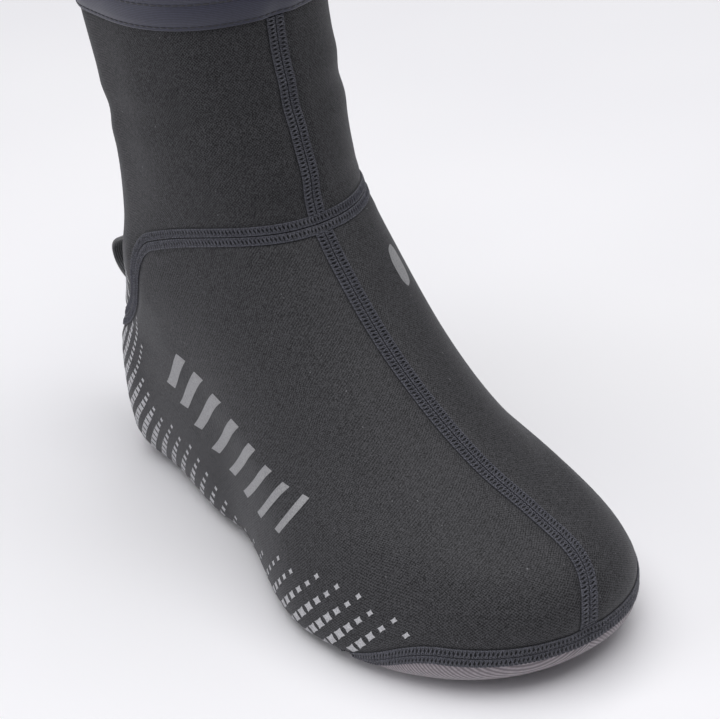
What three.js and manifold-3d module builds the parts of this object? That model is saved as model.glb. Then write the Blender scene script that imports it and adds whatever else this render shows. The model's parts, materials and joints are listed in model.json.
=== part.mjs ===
// Cycling overshoe for the right foot: a neoprene bootie that is worn over a cycling shoe.
// Millimetres, +X to the toe, +Y to the inner side of the foot, +Z up, floor at z = 0.
import * as THREE from 'three';
import { mergeVertices } from 'three/addons/utils/BufferGeometryUtils.js';
import Module from 'manifold-3d';

// Driving sizes
const LENGTH = 298;
const HEIGHT = 262;
const BALL_WIDTH = 112;
const TOE_SPRING = 8;
const ARCH_RISE = 3;

// Walls and clearances
const NEOPRENE = 3;
const SOLE_CLOTH = 2;
const COLLAR_CLOTH = 1.2;
const GAP = 0.3;
const RIM_GAP = 0.45;

// Seams, collar and pull loop
const SEAM_WIDTH = 8.5;
const SEAM_CLOTH = 0.7;
const SEAM_GAP = 0.45;
const COLLAR_HEIGHT = 30;
const COLLAR_LINING = 12;
const LOOP_WIDTH = 28;
const LOOP_CLOTH = 1.6;
const LOOP_REACH = 38;
const LOOP_DROP = 32;
const LOOP_BOTTOM = 66;
const LOOP_TIP_RISE = 15;
const LOOP_BELLY = 2.5;
const LOOP_SAG = 6;

// Openings in the sole panel
const CLEAT_LENGTH = 84;
const CLEAT_WIDTH = 58;
const PAD_LENGTH = 44;
const PAD_WIDTH = 42;
const HOLE_CORNER = 14;

// Where the openings sit, as shares of LENGTH
const CLEAT_SPOT = 0.735;
const PAD_SPOT = 0.17;

// How finely the skin is cut up
const AROUND = 56;
const FOOT_ROWS = 13;
const SHAFT_ROWS = 9;
const COLLAR_ROWS = 3;
const RIM_ROWS = 3;
const ACROSS = 6;
const CORNER_STEPS = 5;
const LOOP_STEPS = 8;
const CROWDING = 0.1;

// The skin is a stack of rings. A ring runs from a point at the heel back to a point at the front.
// frontX and backX are shares of LENGTH, frontZ, backZ and rise are shares of HEIGHT,
// and the half widths at heel, waist and ball, and the turn to the inner side, are shares of BALL_WIDTH.
// heelRound, outerRound and innerRound are the rounded shares of the ring at heel and toe,
// and seam is how many degrees the front seam strays to the outer side.
const COLUMNS = [
  'frontX', 'frontZ', 'backX', 'backZ', 'heel', 'waist', 'outer', 'inner',
  'heelRound', 'outerRound', 'innerRound', 'turn', 'rise', 'seam',
];
const RINGS = [
  [0.955, 0.000, 0.055, 0.000, 0.240, 0.320, 0.485, 0.410, 0.12, 0.35, 0.24, 0.03, 0.000, 2.0],
  [0.975, 0.008, 0.026, 0.008, 0.292, 0.375, 0.560, 0.460, 0.12, 0.35, 0.24, 0.03, 0.000, 2.0],
  [0.992, 0.032, 0.008, 0.038, 0.347, 0.410, 0.600, 0.500, 0.12, 0.35, 0.24, 0.03, 0.000, 2.0],
  [1.000, 0.080, 0.000, 0.095, 0.377, 0.425, 0.602, 0.522, 0.13, 0.36, 0.26, 0.03, 0.000, 1.0],
  [1.000, 0.138, 0.000, 0.160, 0.387, 0.425, 0.575, 0.498, 0.14, 0.40, 0.32, 0.03, 0.000, 0.0],
  [0.960, 0.188, 0.004, 0.212, 0.388, 0.420, 0.528, 0.458, 0.15, 0.46, 0.40, 0.02, 0.005, -5.0],
  [0.880, 0.220, 0.010, 0.250, 0.390, 0.420, 0.480, 0.438, 0.19, 0.53, 0.48, 0.00, 0.015, -7.3],
  [0.790, 0.265, 0.015, 0.275, 0.385, 0.420, 0.445, 0.443, 0.24, 0.57, 0.55, -0.01, 0.025, -4.0],
  [0.692, 0.334, 0.021, 0.295, 0.385, 0.420, 0.425, 0.442, 0.28, 0.58, 0.58, -0.01, 0.038, -0.8],
  [0.587, 0.428, 0.033, 0.312, 0.385, 0.425, 0.420, 0.442, 0.32, 0.58, 0.58, 0.00, 0.048, 1.5],
  [0.480, 0.555, 0.042, 0.335, 0.385, 0.425, 0.410, 0.425, 0.40, 0.52, 0.52, 0.00, 0.055, 0.8],
  [0.460, 0.635, 0.068, 0.460, 0.375, 0.405, 0.405, 0.397, 0.42, 0.48, 0.48, 0.00, 0.025, -0.3],
  [0.442, 0.715, 0.078, 0.640, 0.365, 0.410, 0.420, 0.400, 0.42, 0.46, 0.46, 0.00, 0.010, 0.0],
  [0.425, 0.850, 0.060, 0.870, 0.405, 0.435, 0.430, 0.400, 0.42, 0.46, 0.46, 0.00, 0.005, 0.7],
  [0.432, 1.000, 0.042, 1.000, 0.425, 0.455, 0.445, 0.425, 0.42, 0.46, 0.46, 0.00, 0.000, 0.7],
];
const ROUNDNESS = 2.2;
const HEEL_SPOT = 0.15;
const WAIST_SPOT = 0.38;
const OUTER_BALL_SPOT = 0.68;
const INNER_BALL_SPOT = 0.70;

// The underside along the shoe, as shares of LENGTH, and the level by which its shape fades out
const TOE_SPRING_START = 0.74;
const ARCH_START = 0.28;
const ARCH_SPAN = 0.3;
const FADE_LEVEL = 5;
const SOLE_TURN = 0.03;

// Levels of the stack, and angles round it, at which the pieces meet
const UNDERSIDE_LEVEL = 0;
const SIDE_LEVEL = 0.5;
const RAND_LEVEL = 2.8;
const HEEL_WRAP_LEVEL = 2.3;
const OUTER_RAND_START = 0.68;
const INNER_RAND_START = 0.68;
const RAND_SLOPE = 0.22;
const HEEL_WRAP_END = 0.01;
const HEEL_WRAP_SLOPE = 0.14;
const ANKLE_LEVEL = 10;
const DIP_LEVEL = 5.5;
const DIP_END = THREE.MathUtils.degToRad(5);
const DIP_START = THREE.MathUtils.degToRad(92);
const TOP = RINGS.length - 1;
const TOE_SEAM_REACH = 1.0;
const HEEL_SEAM_REACH = 0.45;

const wasm = await Module();
wasm.setup();

function clamp(value) {
  return Math.min(Math.max(value, 0), 1);
}

function ease(value) {
  const t = clamp(value);
  return t * t * (3 - 2 * t);
}

function mix(a, b, t) {
  return a + (b - a) * t;
}

// One column of the table at a level between two rings
function ringValue(name, level) {
  const column = COLUMNS.indexOf(name);
  const row = Math.min(Math.max(Math.floor(level), 0), TOP - 1);
  const t = level - row;
  const pick = (index) => RINGS[Math.min(Math.max(index, 0), TOP)][column];
  const [before, a, b, after] = [row - 1, row, row + 1, row + 2].map(pick);
  const slopeA = (b - before) / 2;
  const slopeB = (after - a) / 2;
  const bend = 2 * a - 2 * b + slopeA + slopeB;
  const lean = 3 * (b - a) - 2 * slopeA - slopeB;
  return ((bend * t + lean) * t + slopeA) * t + a;
}

// Height of the underside: flat under heel and ball, raised at the arch and at the toe
function undersideHeight(x) {
  const share = x / LENGTH;
  const toe = clamp((share - TOE_SPRING_START) / (1 - TOE_SPRING_START));
  const arch = Math.sin(Math.PI * clamp((share - ARCH_START) / ARCH_SPAN));
  return TOE_SPRING * toe * toe + ARCH_RISE * arch * arch;
}

// How far along a ring an angle lies: 0 at the heel back, 1 at the front
function along(angle) {
  return (1 - Math.cos(angle)) / 2;
}

function cap(share, round) {
  const t = clamp(1 - share / round);
  return (1 - t ** ROUNDNESS) ** (1 / ROUNDNESS);
}

// A point of the skin. Negative angles lie on the outer side of the foot.
function skin(angle, level) {
  const value = (name) => ringValue(name, level);
  const f = along(angle);
  const outer = Math.sin(angle) < 0;
  const x = LENGTH * mix(value('backX'), value('frontX'), f);
  const lift = 1 - ease(level / FADE_LEVEL);
  const bow = value('rise') * 4 * f * (1 - f);
  const z = HEIGHT * (mix(value('backZ'), value('frontZ'), f) + bow) + undersideHeight(x) * lift;
  const ball = value(outer ? 'outer' : 'inner');
  const hind = mix(value('heel'), value('waist'), ease((f - HEEL_SPOT) / (WAIST_SPOT - HEEL_SPOT)));
  const ballSpot = outer ? OUTER_BALL_SPOT : INNER_BALL_SPOT;
  const width = hind + (ball - value('waist')) * ease((f - WAIST_SPOT) / (ballSpot - WAIST_SPOT));
  const toeRound = value(outer ? 'outerRound' : 'innerRound');
  const half = BALL_WIDTH * width * cap(f, value('heelRound')) * cap(1 - f, toeRound);
  const y = (outer ? -half : half) + BALL_WIDTH * value('turn') * ease(2 * f - 1);
  return new THREE.Vector3(x, y, z);
}

// The skin's outward direction
function outward(angle, level) {
  const turn = 0.02;
  const step = 0.05;
  const low = Math.max(level - step, 0);
  const high = Math.min(level + step, TOP);
  const round = skin(angle + turn, level).sub(skin(angle - turn, level));
  const rising = skin(angle, high).sub(skin(angle, low));
  return rising.cross(round).normalize();
}

function offsetSkin(angle, level, distance) {
  return skin(angle, level).addScaledVector(outward(angle, level), distance);
}

// The level that lies a distance in millimetres above a level, measured over the skin
function climb(angle, level, distance) {
  const steps = 6;
  let here = level;
  for (let i = 0; i < steps; i += 1) {
    const near = 0.02;
    const from = Math.max(here - near, 0);
    const to = Math.min(here + near, TOP);
    const rate = skin(angle, to).distanceTo(skin(angle, from)) / (to - from);
    here += distance / steps / rate;
  }
  return here;
}

// The angle that lies a distance in millimetres round the ring from an angle
function walk(angle, level, distance) {
  const steps = 8;
  let here = angle;
  for (let i = 0; i < steps; i += 1) {
    const near = 0.01;
    const rate = skin(here + near, level).distanceTo(skin(here - near, level)) / (2 * near);
    here += distance / steps / rate;
  }
  return here;
}

// The line where sole panel and neoprene meet: up at toe and heel, under the edge along the sides
function soleLine(angle) {
  const f = along(angle);
  const toeStart = Math.sin(angle) < 0 ? OUTER_RAND_START : INNER_RAND_START;
  const toe = ease((f - toeStart) / RAND_SLOPE);
  const heel = 1 - ease((f - HEEL_WRAP_END) / HEEL_WRAP_SLOPE);
  return SIDE_LEVEL + (RAND_LEVEL - SIDE_LEVEL) * toe + (HEEL_WRAP_LEVEL - SIDE_LEVEL) * heel;
}

// The line of the ankle seam: round the ankle, and down over the back of the heel
function ankleLine(angle) {
  return mix(DIP_LEVEL, ANKLE_LEVEL, ease((Math.abs(angle) - DIP_END) / (DIP_START - DIP_END)));
}

function solidFrom(vertices, triangles) {
  const geometry = new THREE.BufferGeometry();
  const numbers = vertices.flatMap((v) => [v.x, v.y, v.z]);
  geometry.setAttribute('position', new THREE.Float32BufferAttribute(numbers, 3));
  geometry.setIndex(triangles);
  return mergeVertices(geometry, 1e-4);
}

// A closed solid from a strip of cross-sections, each a closed loop of points.
// A ring joins its last section to its first, and an open strip has flat ends.
// Crossed splits each four-sided face along its other diagonal, as the wall under a seam has it.
function loft(sections, ring, crossed = false) {
  const around = sections[0].length;
  const vertices = sections.flat();
  const triangles = [];
  const spans = ring ? sections.length : sections.length - 1;
  for (let i = 0; i < spans; i += 1) {
    const here = i * around;
    const next = ((i + 1) % sections.length) * around;
    for (let j = 0; j < around; j += 1) {
      const k = (j + 1) % around;
      if (crossed) triangles.push(here + j, here + k, next + j, here + k, next + k, next + j);
      else triangles.push(here + j, next + k, next + j, here + j, here + k, next + k);
    }
  }
  if (!ring) {
    const last = (sections.length - 1) * around;
    const half = around / 2;
    for (let j = 0; j < half - 1; j += 1) {
      const k = around - 1 - j;
      triangles.push(j, k - 1, j + 1, j, k, k - 1);
      triangles.push(last + j, last + j + 1, last + k - 1, last + j, last + k - 1, last + k);
    }
  }
  return solidFrom(vertices, triangles);
}

// One cross-section of a wall: up along the outside, down along the inside
function wallSection(angles, levels, outside, inside) {
  const outer = levels.map((level, j) => offsetSkin(angles[j], level, outside));
  const inner = levels.map((level, j) => offsetSkin(angles[j], level, inside));
  return [...outer, ...inner.reverse()];
}

function spread(from, to, rows) {
  return Array.from({ length: rows + 1 }, (_, j) => mix(from, to, j / rows));
}

// The angles of a ring's columns, a little closer together at heel and toe
function columnAngle(share) {
  const even = -Math.PI + 2 * Math.PI * share;
  return even - CROWDING * Math.sin(2 * even);
}

function ringAngles() {
  return Array.from({ length: AROUND }, (_, i) => columnAngle(i / AROUND));
}

// A wall right round the boot, along the levels that a function gives for each angle
function ringWall(levelsAt, outside, inside) {
  const sections = ringAngles().map((angle) => {
    const levels = levelsAt(angle);
    return wallSection(levels.map(() => angle), levels, outside, inside);
  });
  return loft(sections, true);
}

// A seam band across a line of levels. Its edges lie on rows of the walls below it.
function levelSeam(angles, line, ring) {
  const sections = angles.map((angle) => {
    const centre = line(angle);
    const levels = [seamEdge(angle, centre, -1), centre, seamEdge(angle, centre, 1)];
    return wallSection(levels.map(() => angle), levels, SEAM_GAP + SEAM_CLOTH, SEAM_GAP);
  });
  return loft(sections, ring, true);
}

// The level of a seam's edge. Where a seam runs out under the sole's side it narrows.
function seamEdge(angle, centre, side) {
  return Math.max(climb(angle, centre, (side * SEAM_WIDTH) / 2), centre / 2);
}

// A seam band up the front, through given levels
function frontSeam(levels) {
  const sections = levels.map((level) => {
    const centre = Math.PI + THREE.MathUtils.degToRad(ringValue('seam', level));
    const sides = [-1, 0, 1].map((side) => walk(centre, level, (side * SEAM_WIDTH) / 2));
    return wallSection(sides, sides.map(() => level), SEAM_GAP + SEAM_CLOTH, SEAM_GAP).reverse();
  });
  return loft(sections, false);
}

function toManifold(geometry) {
  const vertProperties = Float32Array.from(geometry.attributes.position.array);
  const triVerts = Uint32Array.from(geometry.index.array);
  return new wasm.Manifold(new wasm.Mesh({ numProp: 3, vertProperties, triVerts }));
}

function toGeometry(solid) {
  const mesh = solid.getMesh();
  const geometry = new THREE.BufferGeometry();
  geometry.setAttribute('position', new THREE.BufferAttribute(mesh.vertProperties, 3));
  geometry.setIndex(new THREE.BufferAttribute(mesh.triVerts, 1));
  return geometry;
}

function merged(geometry) {
  geometry.deleteAttribute('normal');
  geometry.deleteAttribute('uv');
  return mergeVertices(geometry, 1e-4);
}

// An upright cutter with round corners, centred on a point of the sole
function holeCutter(length, width, middle) {
  const [a, b, r] = [length / 2, width / 2, HOLE_CORNER];
  const outline = new THREE.Shape();
  outline.moveTo(a - r, -b);
  outline.absarc(a - r, -b + r, r, -Math.PI / 2, 0);
  outline.absarc(a - r, b - r, r, 0, Math.PI / 2);
  outline.absarc(-a + r, b - r, r, Math.PI / 2, Math.PI);
  outline.absarc(-a + r, -b + r, r, Math.PI, 1.5 * Math.PI);
  const reach = SOLE_CLOTH + TOE_SPRING + ARCH_RISE;
  const geometry = new THREE.ExtrudeGeometry(outline, {
    depth: 2 * reach, bevelEnabled: false, curveSegments: CORNER_STEPS,
  });
  geometry.translate(middle.x, middle.y, -reach);
  return toManifold(merged(geometry));
}

function soleMiddle(share) {
  const x = LENGTH * share;
  return { x, y: BALL_WIDTH * SOLE_TURN * ease(2 * share - 1) };
}

// The sole panel: its underside spans from edge to edge, and its rim turns up to the sole line
function solePanel() {
  const half = AROUND / 2;
  const sections = [];
  for (let i = 0; i <= half; i += 1) {
    const angle = columnAngle((i + half) / AROUND);
    const rim = (side) => {
      const a = side * angle;
      const line = soleLine(a);
      const rows = spread(UNDERSIDE_LEVEL, seamEdge(a, line, -1), RIM_ROWS);
      return [...rows, climb(a, line, -RIM_GAP)].map((level) => [a, level]);
    };
    const outerRim = rim(-1);
    const innerRim = rim(1);
    const point = ([a, level], distance) => offsetSkin(a, level, distance);
    const floor = (distance) => {
      const from = point(outerRim[0], distance);
      const to = point(innerRim[0], distance);
      return spread(0, 1, ACROSS).slice(1, -1).map((t) => from.clone().lerp(to, t));
    };
    const skinLine = (distance) => [
      ...outerRim.slice().reverse().map((p) => point(p, distance)),
      ...floor(distance),
      ...innerRim.map((p) => point(p, distance)),
    ];
    sections.push([...skinLine(0), ...skinLine(-SOLE_CLOTH).reverse()]);
  }
  const panel = toManifold(loft(sections, false));
  const cleat = holeCutter(CLEAT_LENGTH, CLEAT_WIDTH, soleMiddle(CLEAT_SPOT));
  const pad = holeCutter(PAD_LENGTH, PAD_WIDTH, soleMiddle(PAD_SPOT));
  return toGeometry(panel.subtract(cleat).subtract(pad));
}

// The rows of the foot, from the sole line to the ankle seam, with a row under each seam's edge
function footLevels(angle) {
  const low = soleLine(angle);
  const high = ankleLine(angle);
  const rows = spread(seamEdge(angle, low, 1), seamEdge(angle, high, -1), FOOT_ROWS);
  return [climb(angle, low, RIM_GAP), ...rows, climb(angle, high, -GAP)];
}

// The rows of the shaft, from the ankle seam up into the fold of the collar
function shaftLevels(angle) {
  const low = ankleLine(angle);
  const rows = spread(seamEdge(angle, low, 1), climb(angle, TOP, -COLLAR_HEIGHT), SHAFT_ROWS);
  return [climb(angle, low, GAP), ...rows, climb(angle, TOP, -COLLAR_CLOTH - GAP)];
}

function upper() {
  return ringWall(footLevels, 0, -NEOPRENE);
}

function shaft() {
  return ringWall(shaftLevels, 0, -NEOPRENE);
}

// The collar is folded over the shaft's top edge: outer leaf, fold and a shorter inner leaf
function collarBand() {
  const outside = GAP + COLLAR_CLOTH;
  const inside = -NEOPRENE - GAP - COLLAR_CLOTH;
  const sections = ringAngles().map((angle) => {
    const edge = climb(angle, TOP, -COLLAR_HEIGHT);
    const hem = climb(angle, TOP, -COLLAR_LINING);
    const under = climb(angle, TOP, -COLLAR_CLOTH);
    const at = (level, distance) => offsetSkin(angle, level, distance);
    const outerLeaf = spread(edge, TOP, COLLAR_ROWS);
    return [
      ...outerLeaf.map((level) => at(level, outside)),
      at(TOP, inside),
      at(hem, inside),
      at(hem, inside + COLLAR_CLOTH),
      at(under, inside + COLLAR_CLOTH),
      at(under, GAP),
      ...outerLeaf.slice(0, -1).reverse().map((level) => at(level, GAP)),
    ];
  });
  return loft(sections, true);
}

function ankleSeam() {
  return levelSeam(ringAngles(), ankleLine, true);
}

// The columns of the rings that lie within a reach of an angle
function columnsNear(middle, reach) {
  const count = 2 * AROUND;
  const angles = Array.from({ length: count }, (_, i) => columnAngle(i / AROUND));
  return angles.filter((angle) => Math.abs(angle - middle) <= reach);
}

function toeSeam() {
  return levelSeam(columnsNear(Math.PI, TOE_SEAM_REACH), soleLine, false);
}

function heelSeam() {
  return levelSeam(columnsNear(0, HEEL_SEAM_REACH), soleLine, false);
}

// The front seams end just clear of the seams that they meet
function frontSeamFoot() {
  const levels = footLevels(Math.PI).slice(1, -1);
  levels[0] = climb(Math.PI, levels[0], GAP);
  levels[levels.length - 1] = climb(Math.PI, levels[levels.length - 1], -GAP);
  return frontSeam(levels);
}

function frontSeamShaft() {
  const levels = shaftLevels(Math.PI).slice(1, -1);
  levels[0] = climb(Math.PI, levels[0], GAP);
  levels[levels.length - 1] = climb(Math.PI, levels[levels.length - 1], -GAP);
  return frontSeam(levels);
}

// The pull loop: a bow of webbing behind the heel, sewn on at both ends
function pullLoop() {
  const seat = (height) => new THREE.Vector2(skin(0, levelAtBack(height)).x - 2 * GAP, height);
  const top = LOOP_BOTTOM + LOOP_DROP;
  const [low, lowInner] = [seat(LOOP_BOTTOM), seat(LOOP_BOTTOM + LOOP_CLOTH)];
  const [high, highInner] = [seat(top), seat(top - LOOP_CLOTH)];
  const tip = new THREE.Vector2(high.x - LOOP_REACH, LOOP_BOTTOM + LOOP_TIP_RISE);
  const inner = tip.x + LOOP_CLOTH;
  const outline = new THREE.Shape();
  outline.moveTo(low.x, low.y);
  outline.quadraticCurveTo(tip.x, low.y + LOOP_BELLY, tip.x, tip.y);
  outline.quadraticCurveTo(tip.x, high.y - LOOP_SAG, high.x, high.y);
  outline.lineTo(highInner.x, highInner.y);
  outline.quadraticCurveTo(inner, highInner.y - LOOP_SAG, inner, tip.y);
  outline.quadraticCurveTo(inner, lowInner.y + LOOP_BELLY, lowInner.x, lowInner.y);
  const geometry = new THREE.ExtrudeGeometry(outline, {
    depth: LOOP_WIDTH, bevelEnabled: false, curveSegments: LOOP_STEPS,
  });
  geometry.rotateX(Math.PI / 2);
  geometry.translate(0, LOOP_WIDTH / 2, 0);
  return merged(geometry);
}

// The level whose heel back lies at a height
function levelAtBack(height) {
  let [low, high] = [0, TOP];
  for (let i = 0; i < 30; i += 1) {
    const middle = (low + high) / 2;
    if (skin(0, middle).z < height) low = middle;
    else high = middle;
  }
  return low;
}

// Materials
const neoprene = { color: 0x36373a, roughness: 0.85, metalness: 0 };
const thread = { color: 0x2c2d36, roughness: 0.7, metalness: 0 };
const soleCloth = { color: 0x8e888c, roughness: 0.8, metalness: 0 };
const collarCloth = { color: 0x32323f, roughness: 0.55, metalness: 0 };
const webbing = { color: 0x232326, roughness: 0.8, metalness: 0 };

const shoe = new THREE.Group();

function add(name, geometry, finish) {
  const mesh = new THREE.Mesh(geometry, new THREE.MeshStandardMaterial(finish));
  mesh.name = name;
  shoe.add(mesh);
}

add('sole_panel', solePanel(), soleCloth);
add('upper', upper(), neoprene);
add('shaft', shaft(), neoprene);
add('collar_band', collarBand(), collarCloth);
add('ankle_seam', ankleSeam(), thread);
add('toe_seam', toeSeam(), thread);
add('heel_seam', heelSeam(), thread);
add('front_seam_foot', frontSeamFoot(), thread);
add('front_seam_shaft', frontSeamShaft(), thread);
add('pull_loop', pullLoop(), webbing);

// The origin lies on the floor under the middle of the shoe's box
const bounds = new THREE.Box3().setFromObject(shoe);
const middle = bounds.getCenter(new THREE.Vector3());
shoe.position.set(-middle.x, -middle.y, -bounds.min.z);

export default shoe;
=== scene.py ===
"""Looks of a cycling overshoe: neoprene walls, flatlock seams, collar, sole cloth and pull loop."""
import json
import logging
import math
from dataclasses import dataclass, field, replace
from enum import Enum

import bpy
import numpy as np
from mathutils import Matrix, Vector

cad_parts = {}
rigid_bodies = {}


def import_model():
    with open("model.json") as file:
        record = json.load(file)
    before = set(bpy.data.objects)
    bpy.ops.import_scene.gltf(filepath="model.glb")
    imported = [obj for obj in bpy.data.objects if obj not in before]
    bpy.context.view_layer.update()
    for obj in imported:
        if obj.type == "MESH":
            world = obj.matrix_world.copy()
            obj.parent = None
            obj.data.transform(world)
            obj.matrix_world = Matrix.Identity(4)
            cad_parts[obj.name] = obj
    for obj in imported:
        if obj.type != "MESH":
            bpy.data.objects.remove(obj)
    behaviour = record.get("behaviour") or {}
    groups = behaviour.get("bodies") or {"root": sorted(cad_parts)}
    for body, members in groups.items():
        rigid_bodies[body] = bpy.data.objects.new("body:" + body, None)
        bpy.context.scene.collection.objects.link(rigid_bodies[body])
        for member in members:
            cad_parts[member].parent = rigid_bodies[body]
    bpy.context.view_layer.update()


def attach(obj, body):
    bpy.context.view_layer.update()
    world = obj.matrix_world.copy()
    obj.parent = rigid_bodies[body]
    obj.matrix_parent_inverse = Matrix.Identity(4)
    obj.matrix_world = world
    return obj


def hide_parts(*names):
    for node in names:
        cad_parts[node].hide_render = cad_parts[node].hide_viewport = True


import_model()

MM = 0.001
Array = np.ndarray
Thing = bpy.types.Object
Tree = bpy.types.NodeTree
Socket = bpy.types.NodeSocket
logging.basicConfig(level=logging.INFO, format="%(message)s")
log = logging.getLogger("overshoe")


# Small helpers


def linear(hex_colour: int) -> tuple[float, float, float, float]:
    """Turn an sRGB hex colour into linear red, green, blue and alpha.

    Args:
        hex_colour: the colour as 0xRRGGBB.

    Returns:
        Four numbers for a colour socket.
    """
    channels = [((hex_colour >> shift) & 255) / 255 for shift in (16, 8, 0)]
    red, green, blue = [c / 12.92 if c <= 0.04045 else ((c + 0.055) / 1.055) ** 2.4 for c in channels]
    return red, green, blue, 1.0


def ease(value: Array) -> Array:
    """Smooth step from 0 to 1.

    Args:
        value: the numbers, which may lie outside 0 to 1.

    Returns:
        The eased numbers.
    """
    t = np.clip(value, 0.0, 1.0)
    return t * t * (3.0 - 2.0 * t)


def unit(vectors: Array) -> Array:
    """Vectors scaled to length one.

    Args:
        vectors: the vectors.

    Returns:
        Vectors of the same directions.
    """
    return vectors / np.maximum(np.linalg.norm(vectors, axis=-1, keepdims=True), 1e-12)


def nearest(points: Array, line: Array) -> tuple[Array, Array]:
    """Distance from each point to a line of short straight stretches.

    Args:
        points: the points.
        line: the line's points.

    Returns:
        The distances, and how far along the line the nearest place lies, from 0 to 1.
    """
    best = np.full(points.shape[:-1], np.inf)
    along = np.zeros(points.shape[:-1])
    stretches = len(line) - 1
    for index in range(stretches):
        way = line[index + 1] - line[index]
        t = np.clip(((points - line[index]) @ way) / max(float(way @ way), 1e-12), 0, 1)
        gap = np.linalg.norm(points - line[index] - t[..., None] * way, axis=-1)
        closer = gap < best
        best = np.where(closer, gap, best)
        along = np.where(closer, (index + t) / stretches, along)
    return best, along


def run_along(points: Array, axis: int = 0) -> Array:
    """Distances from the first point, measured over the points.

    Args:
        points: the points.
        axis: the axis on which they follow each other.

    Returns:
        One distance for each point.
    """
    steps = np.linalg.norm(np.diff(points, axis=axis), axis=-1)
    return np.insert(np.cumsum(steps, axis=axis), 0, 0.0, axis=axis)


def packed_angles(low: float, high: float, count: int) -> Array:
    """Angles round the boot, closer together at the heel and the toe.

    Args:
        low: first angle in radians.
        high: last angle.
        count: how many steps.

    Returns:
        One more angle than there are steps.
    """
    even = np.linspace(low, high, count + 1)
    return even - 0.1 * np.sin(2 * even)


def spread(low: Array, high: Array, count: int) -> Array:
    """Rows of numbers, evenly from low to high.

    Args:
        low: first row.
        high: last row.
        count: how many rows.

    Returns:
        An array whose first axis runs from low to high.
    """
    t = np.linspace(0.0, 1.0, count)[:, None]
    return np.asarray(low)[None, :] * (1.0 - t) + np.asarray(high)[None, :] * t


# The skin of the boot


@dataclass(frozen=True)
class Fold:
    """A soft trough with low shoulders, between two places on the skin.

    A place is an angle in degrees and a level. Width and depth are in millimetres.
    """

    start: tuple[float, float]
    end: tuple[float, float]
    width: float
    depth: float
    tapered: bool = True


COLUMNS = (
    "frontX", "frontZ", "backX", "backZ", "heel", "waist", "outer", "inner",
    "heelRound", "outerRound", "innerRound", "turn", "rise", "seam",
)
RINGS = np.array([
    [0.955, 0.000, 0.055, 0.000, 0.240, 0.320, 0.485, 0.410, 0.12, 0.35, 0.24, 0.03, 0.000, 2.0],
    [0.975, 0.008, 0.026, 0.008, 0.292, 0.375, 0.560, 0.460, 0.12, 0.35, 0.24, 0.03, 0.000, 2.0],
    [0.992, 0.032, 0.008, 0.038, 0.347, 0.410, 0.600, 0.500, 0.12, 0.35, 0.24, 0.03, 0.000, 2.0],
    [1.000, 0.080, 0.000, 0.095, 0.377, 0.425, 0.602, 0.522, 0.13, 0.36, 0.26, 0.03, 0.000, 1.0],
    [1.000, 0.138, 0.000, 0.160, 0.387, 0.425, 0.575, 0.498, 0.14, 0.40, 0.32, 0.03, 0.000, 0.0],
    [0.960, 0.188, 0.004, 0.212, 0.388, 0.420, 0.528, 0.458, 0.15, 0.46, 0.40, 0.02, 0.005, -5.0],
    [0.880, 0.220, 0.010, 0.250, 0.390, 0.420, 0.480, 0.438, 0.19, 0.53, 0.48, 0.00, 0.015, -7.3],
    [0.790, 0.265, 0.015, 0.275, 0.385, 0.420, 0.445, 0.443, 0.24, 0.57, 0.55, -0.01, 0.025, -4.0],
    [0.692, 0.334, 0.021, 0.295, 0.385, 0.420, 0.425, 0.442, 0.28, 0.58, 0.58, -0.01, 0.038, -0.8],
    [0.587, 0.428, 0.033, 0.312, 0.385, 0.425, 0.420, 0.442, 0.32, 0.58, 0.58, 0.00, 0.048, 1.5],
    [0.480, 0.555, 0.042, 0.335, 0.385, 0.425, 0.410, 0.425, 0.40, 0.52, 0.52, 0.00, 0.055, 0.8],
    [0.460, 0.635, 0.068, 0.460, 0.375, 0.405, 0.405, 0.397, 0.42, 0.48, 0.48, 0.00, 0.025, -0.3],
    [0.442, 0.715, 0.078, 0.640, 0.365, 0.410, 0.420, 0.400, 0.42, 0.46, 0.46, 0.00, 0.010, 0.0],
    [0.425, 0.850, 0.060, 0.870, 0.405, 0.435, 0.430, 0.400, 0.42, 0.46, 0.46, 0.00, 0.005, 0.7],
    [0.432, 1.000, 0.042, 1.000, 0.425, 0.455, 0.445, 0.425, 0.42, 0.46, 0.46, 0.00, 0.000, 0.7],
])
TOP = len(RINGS) - 1


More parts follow.
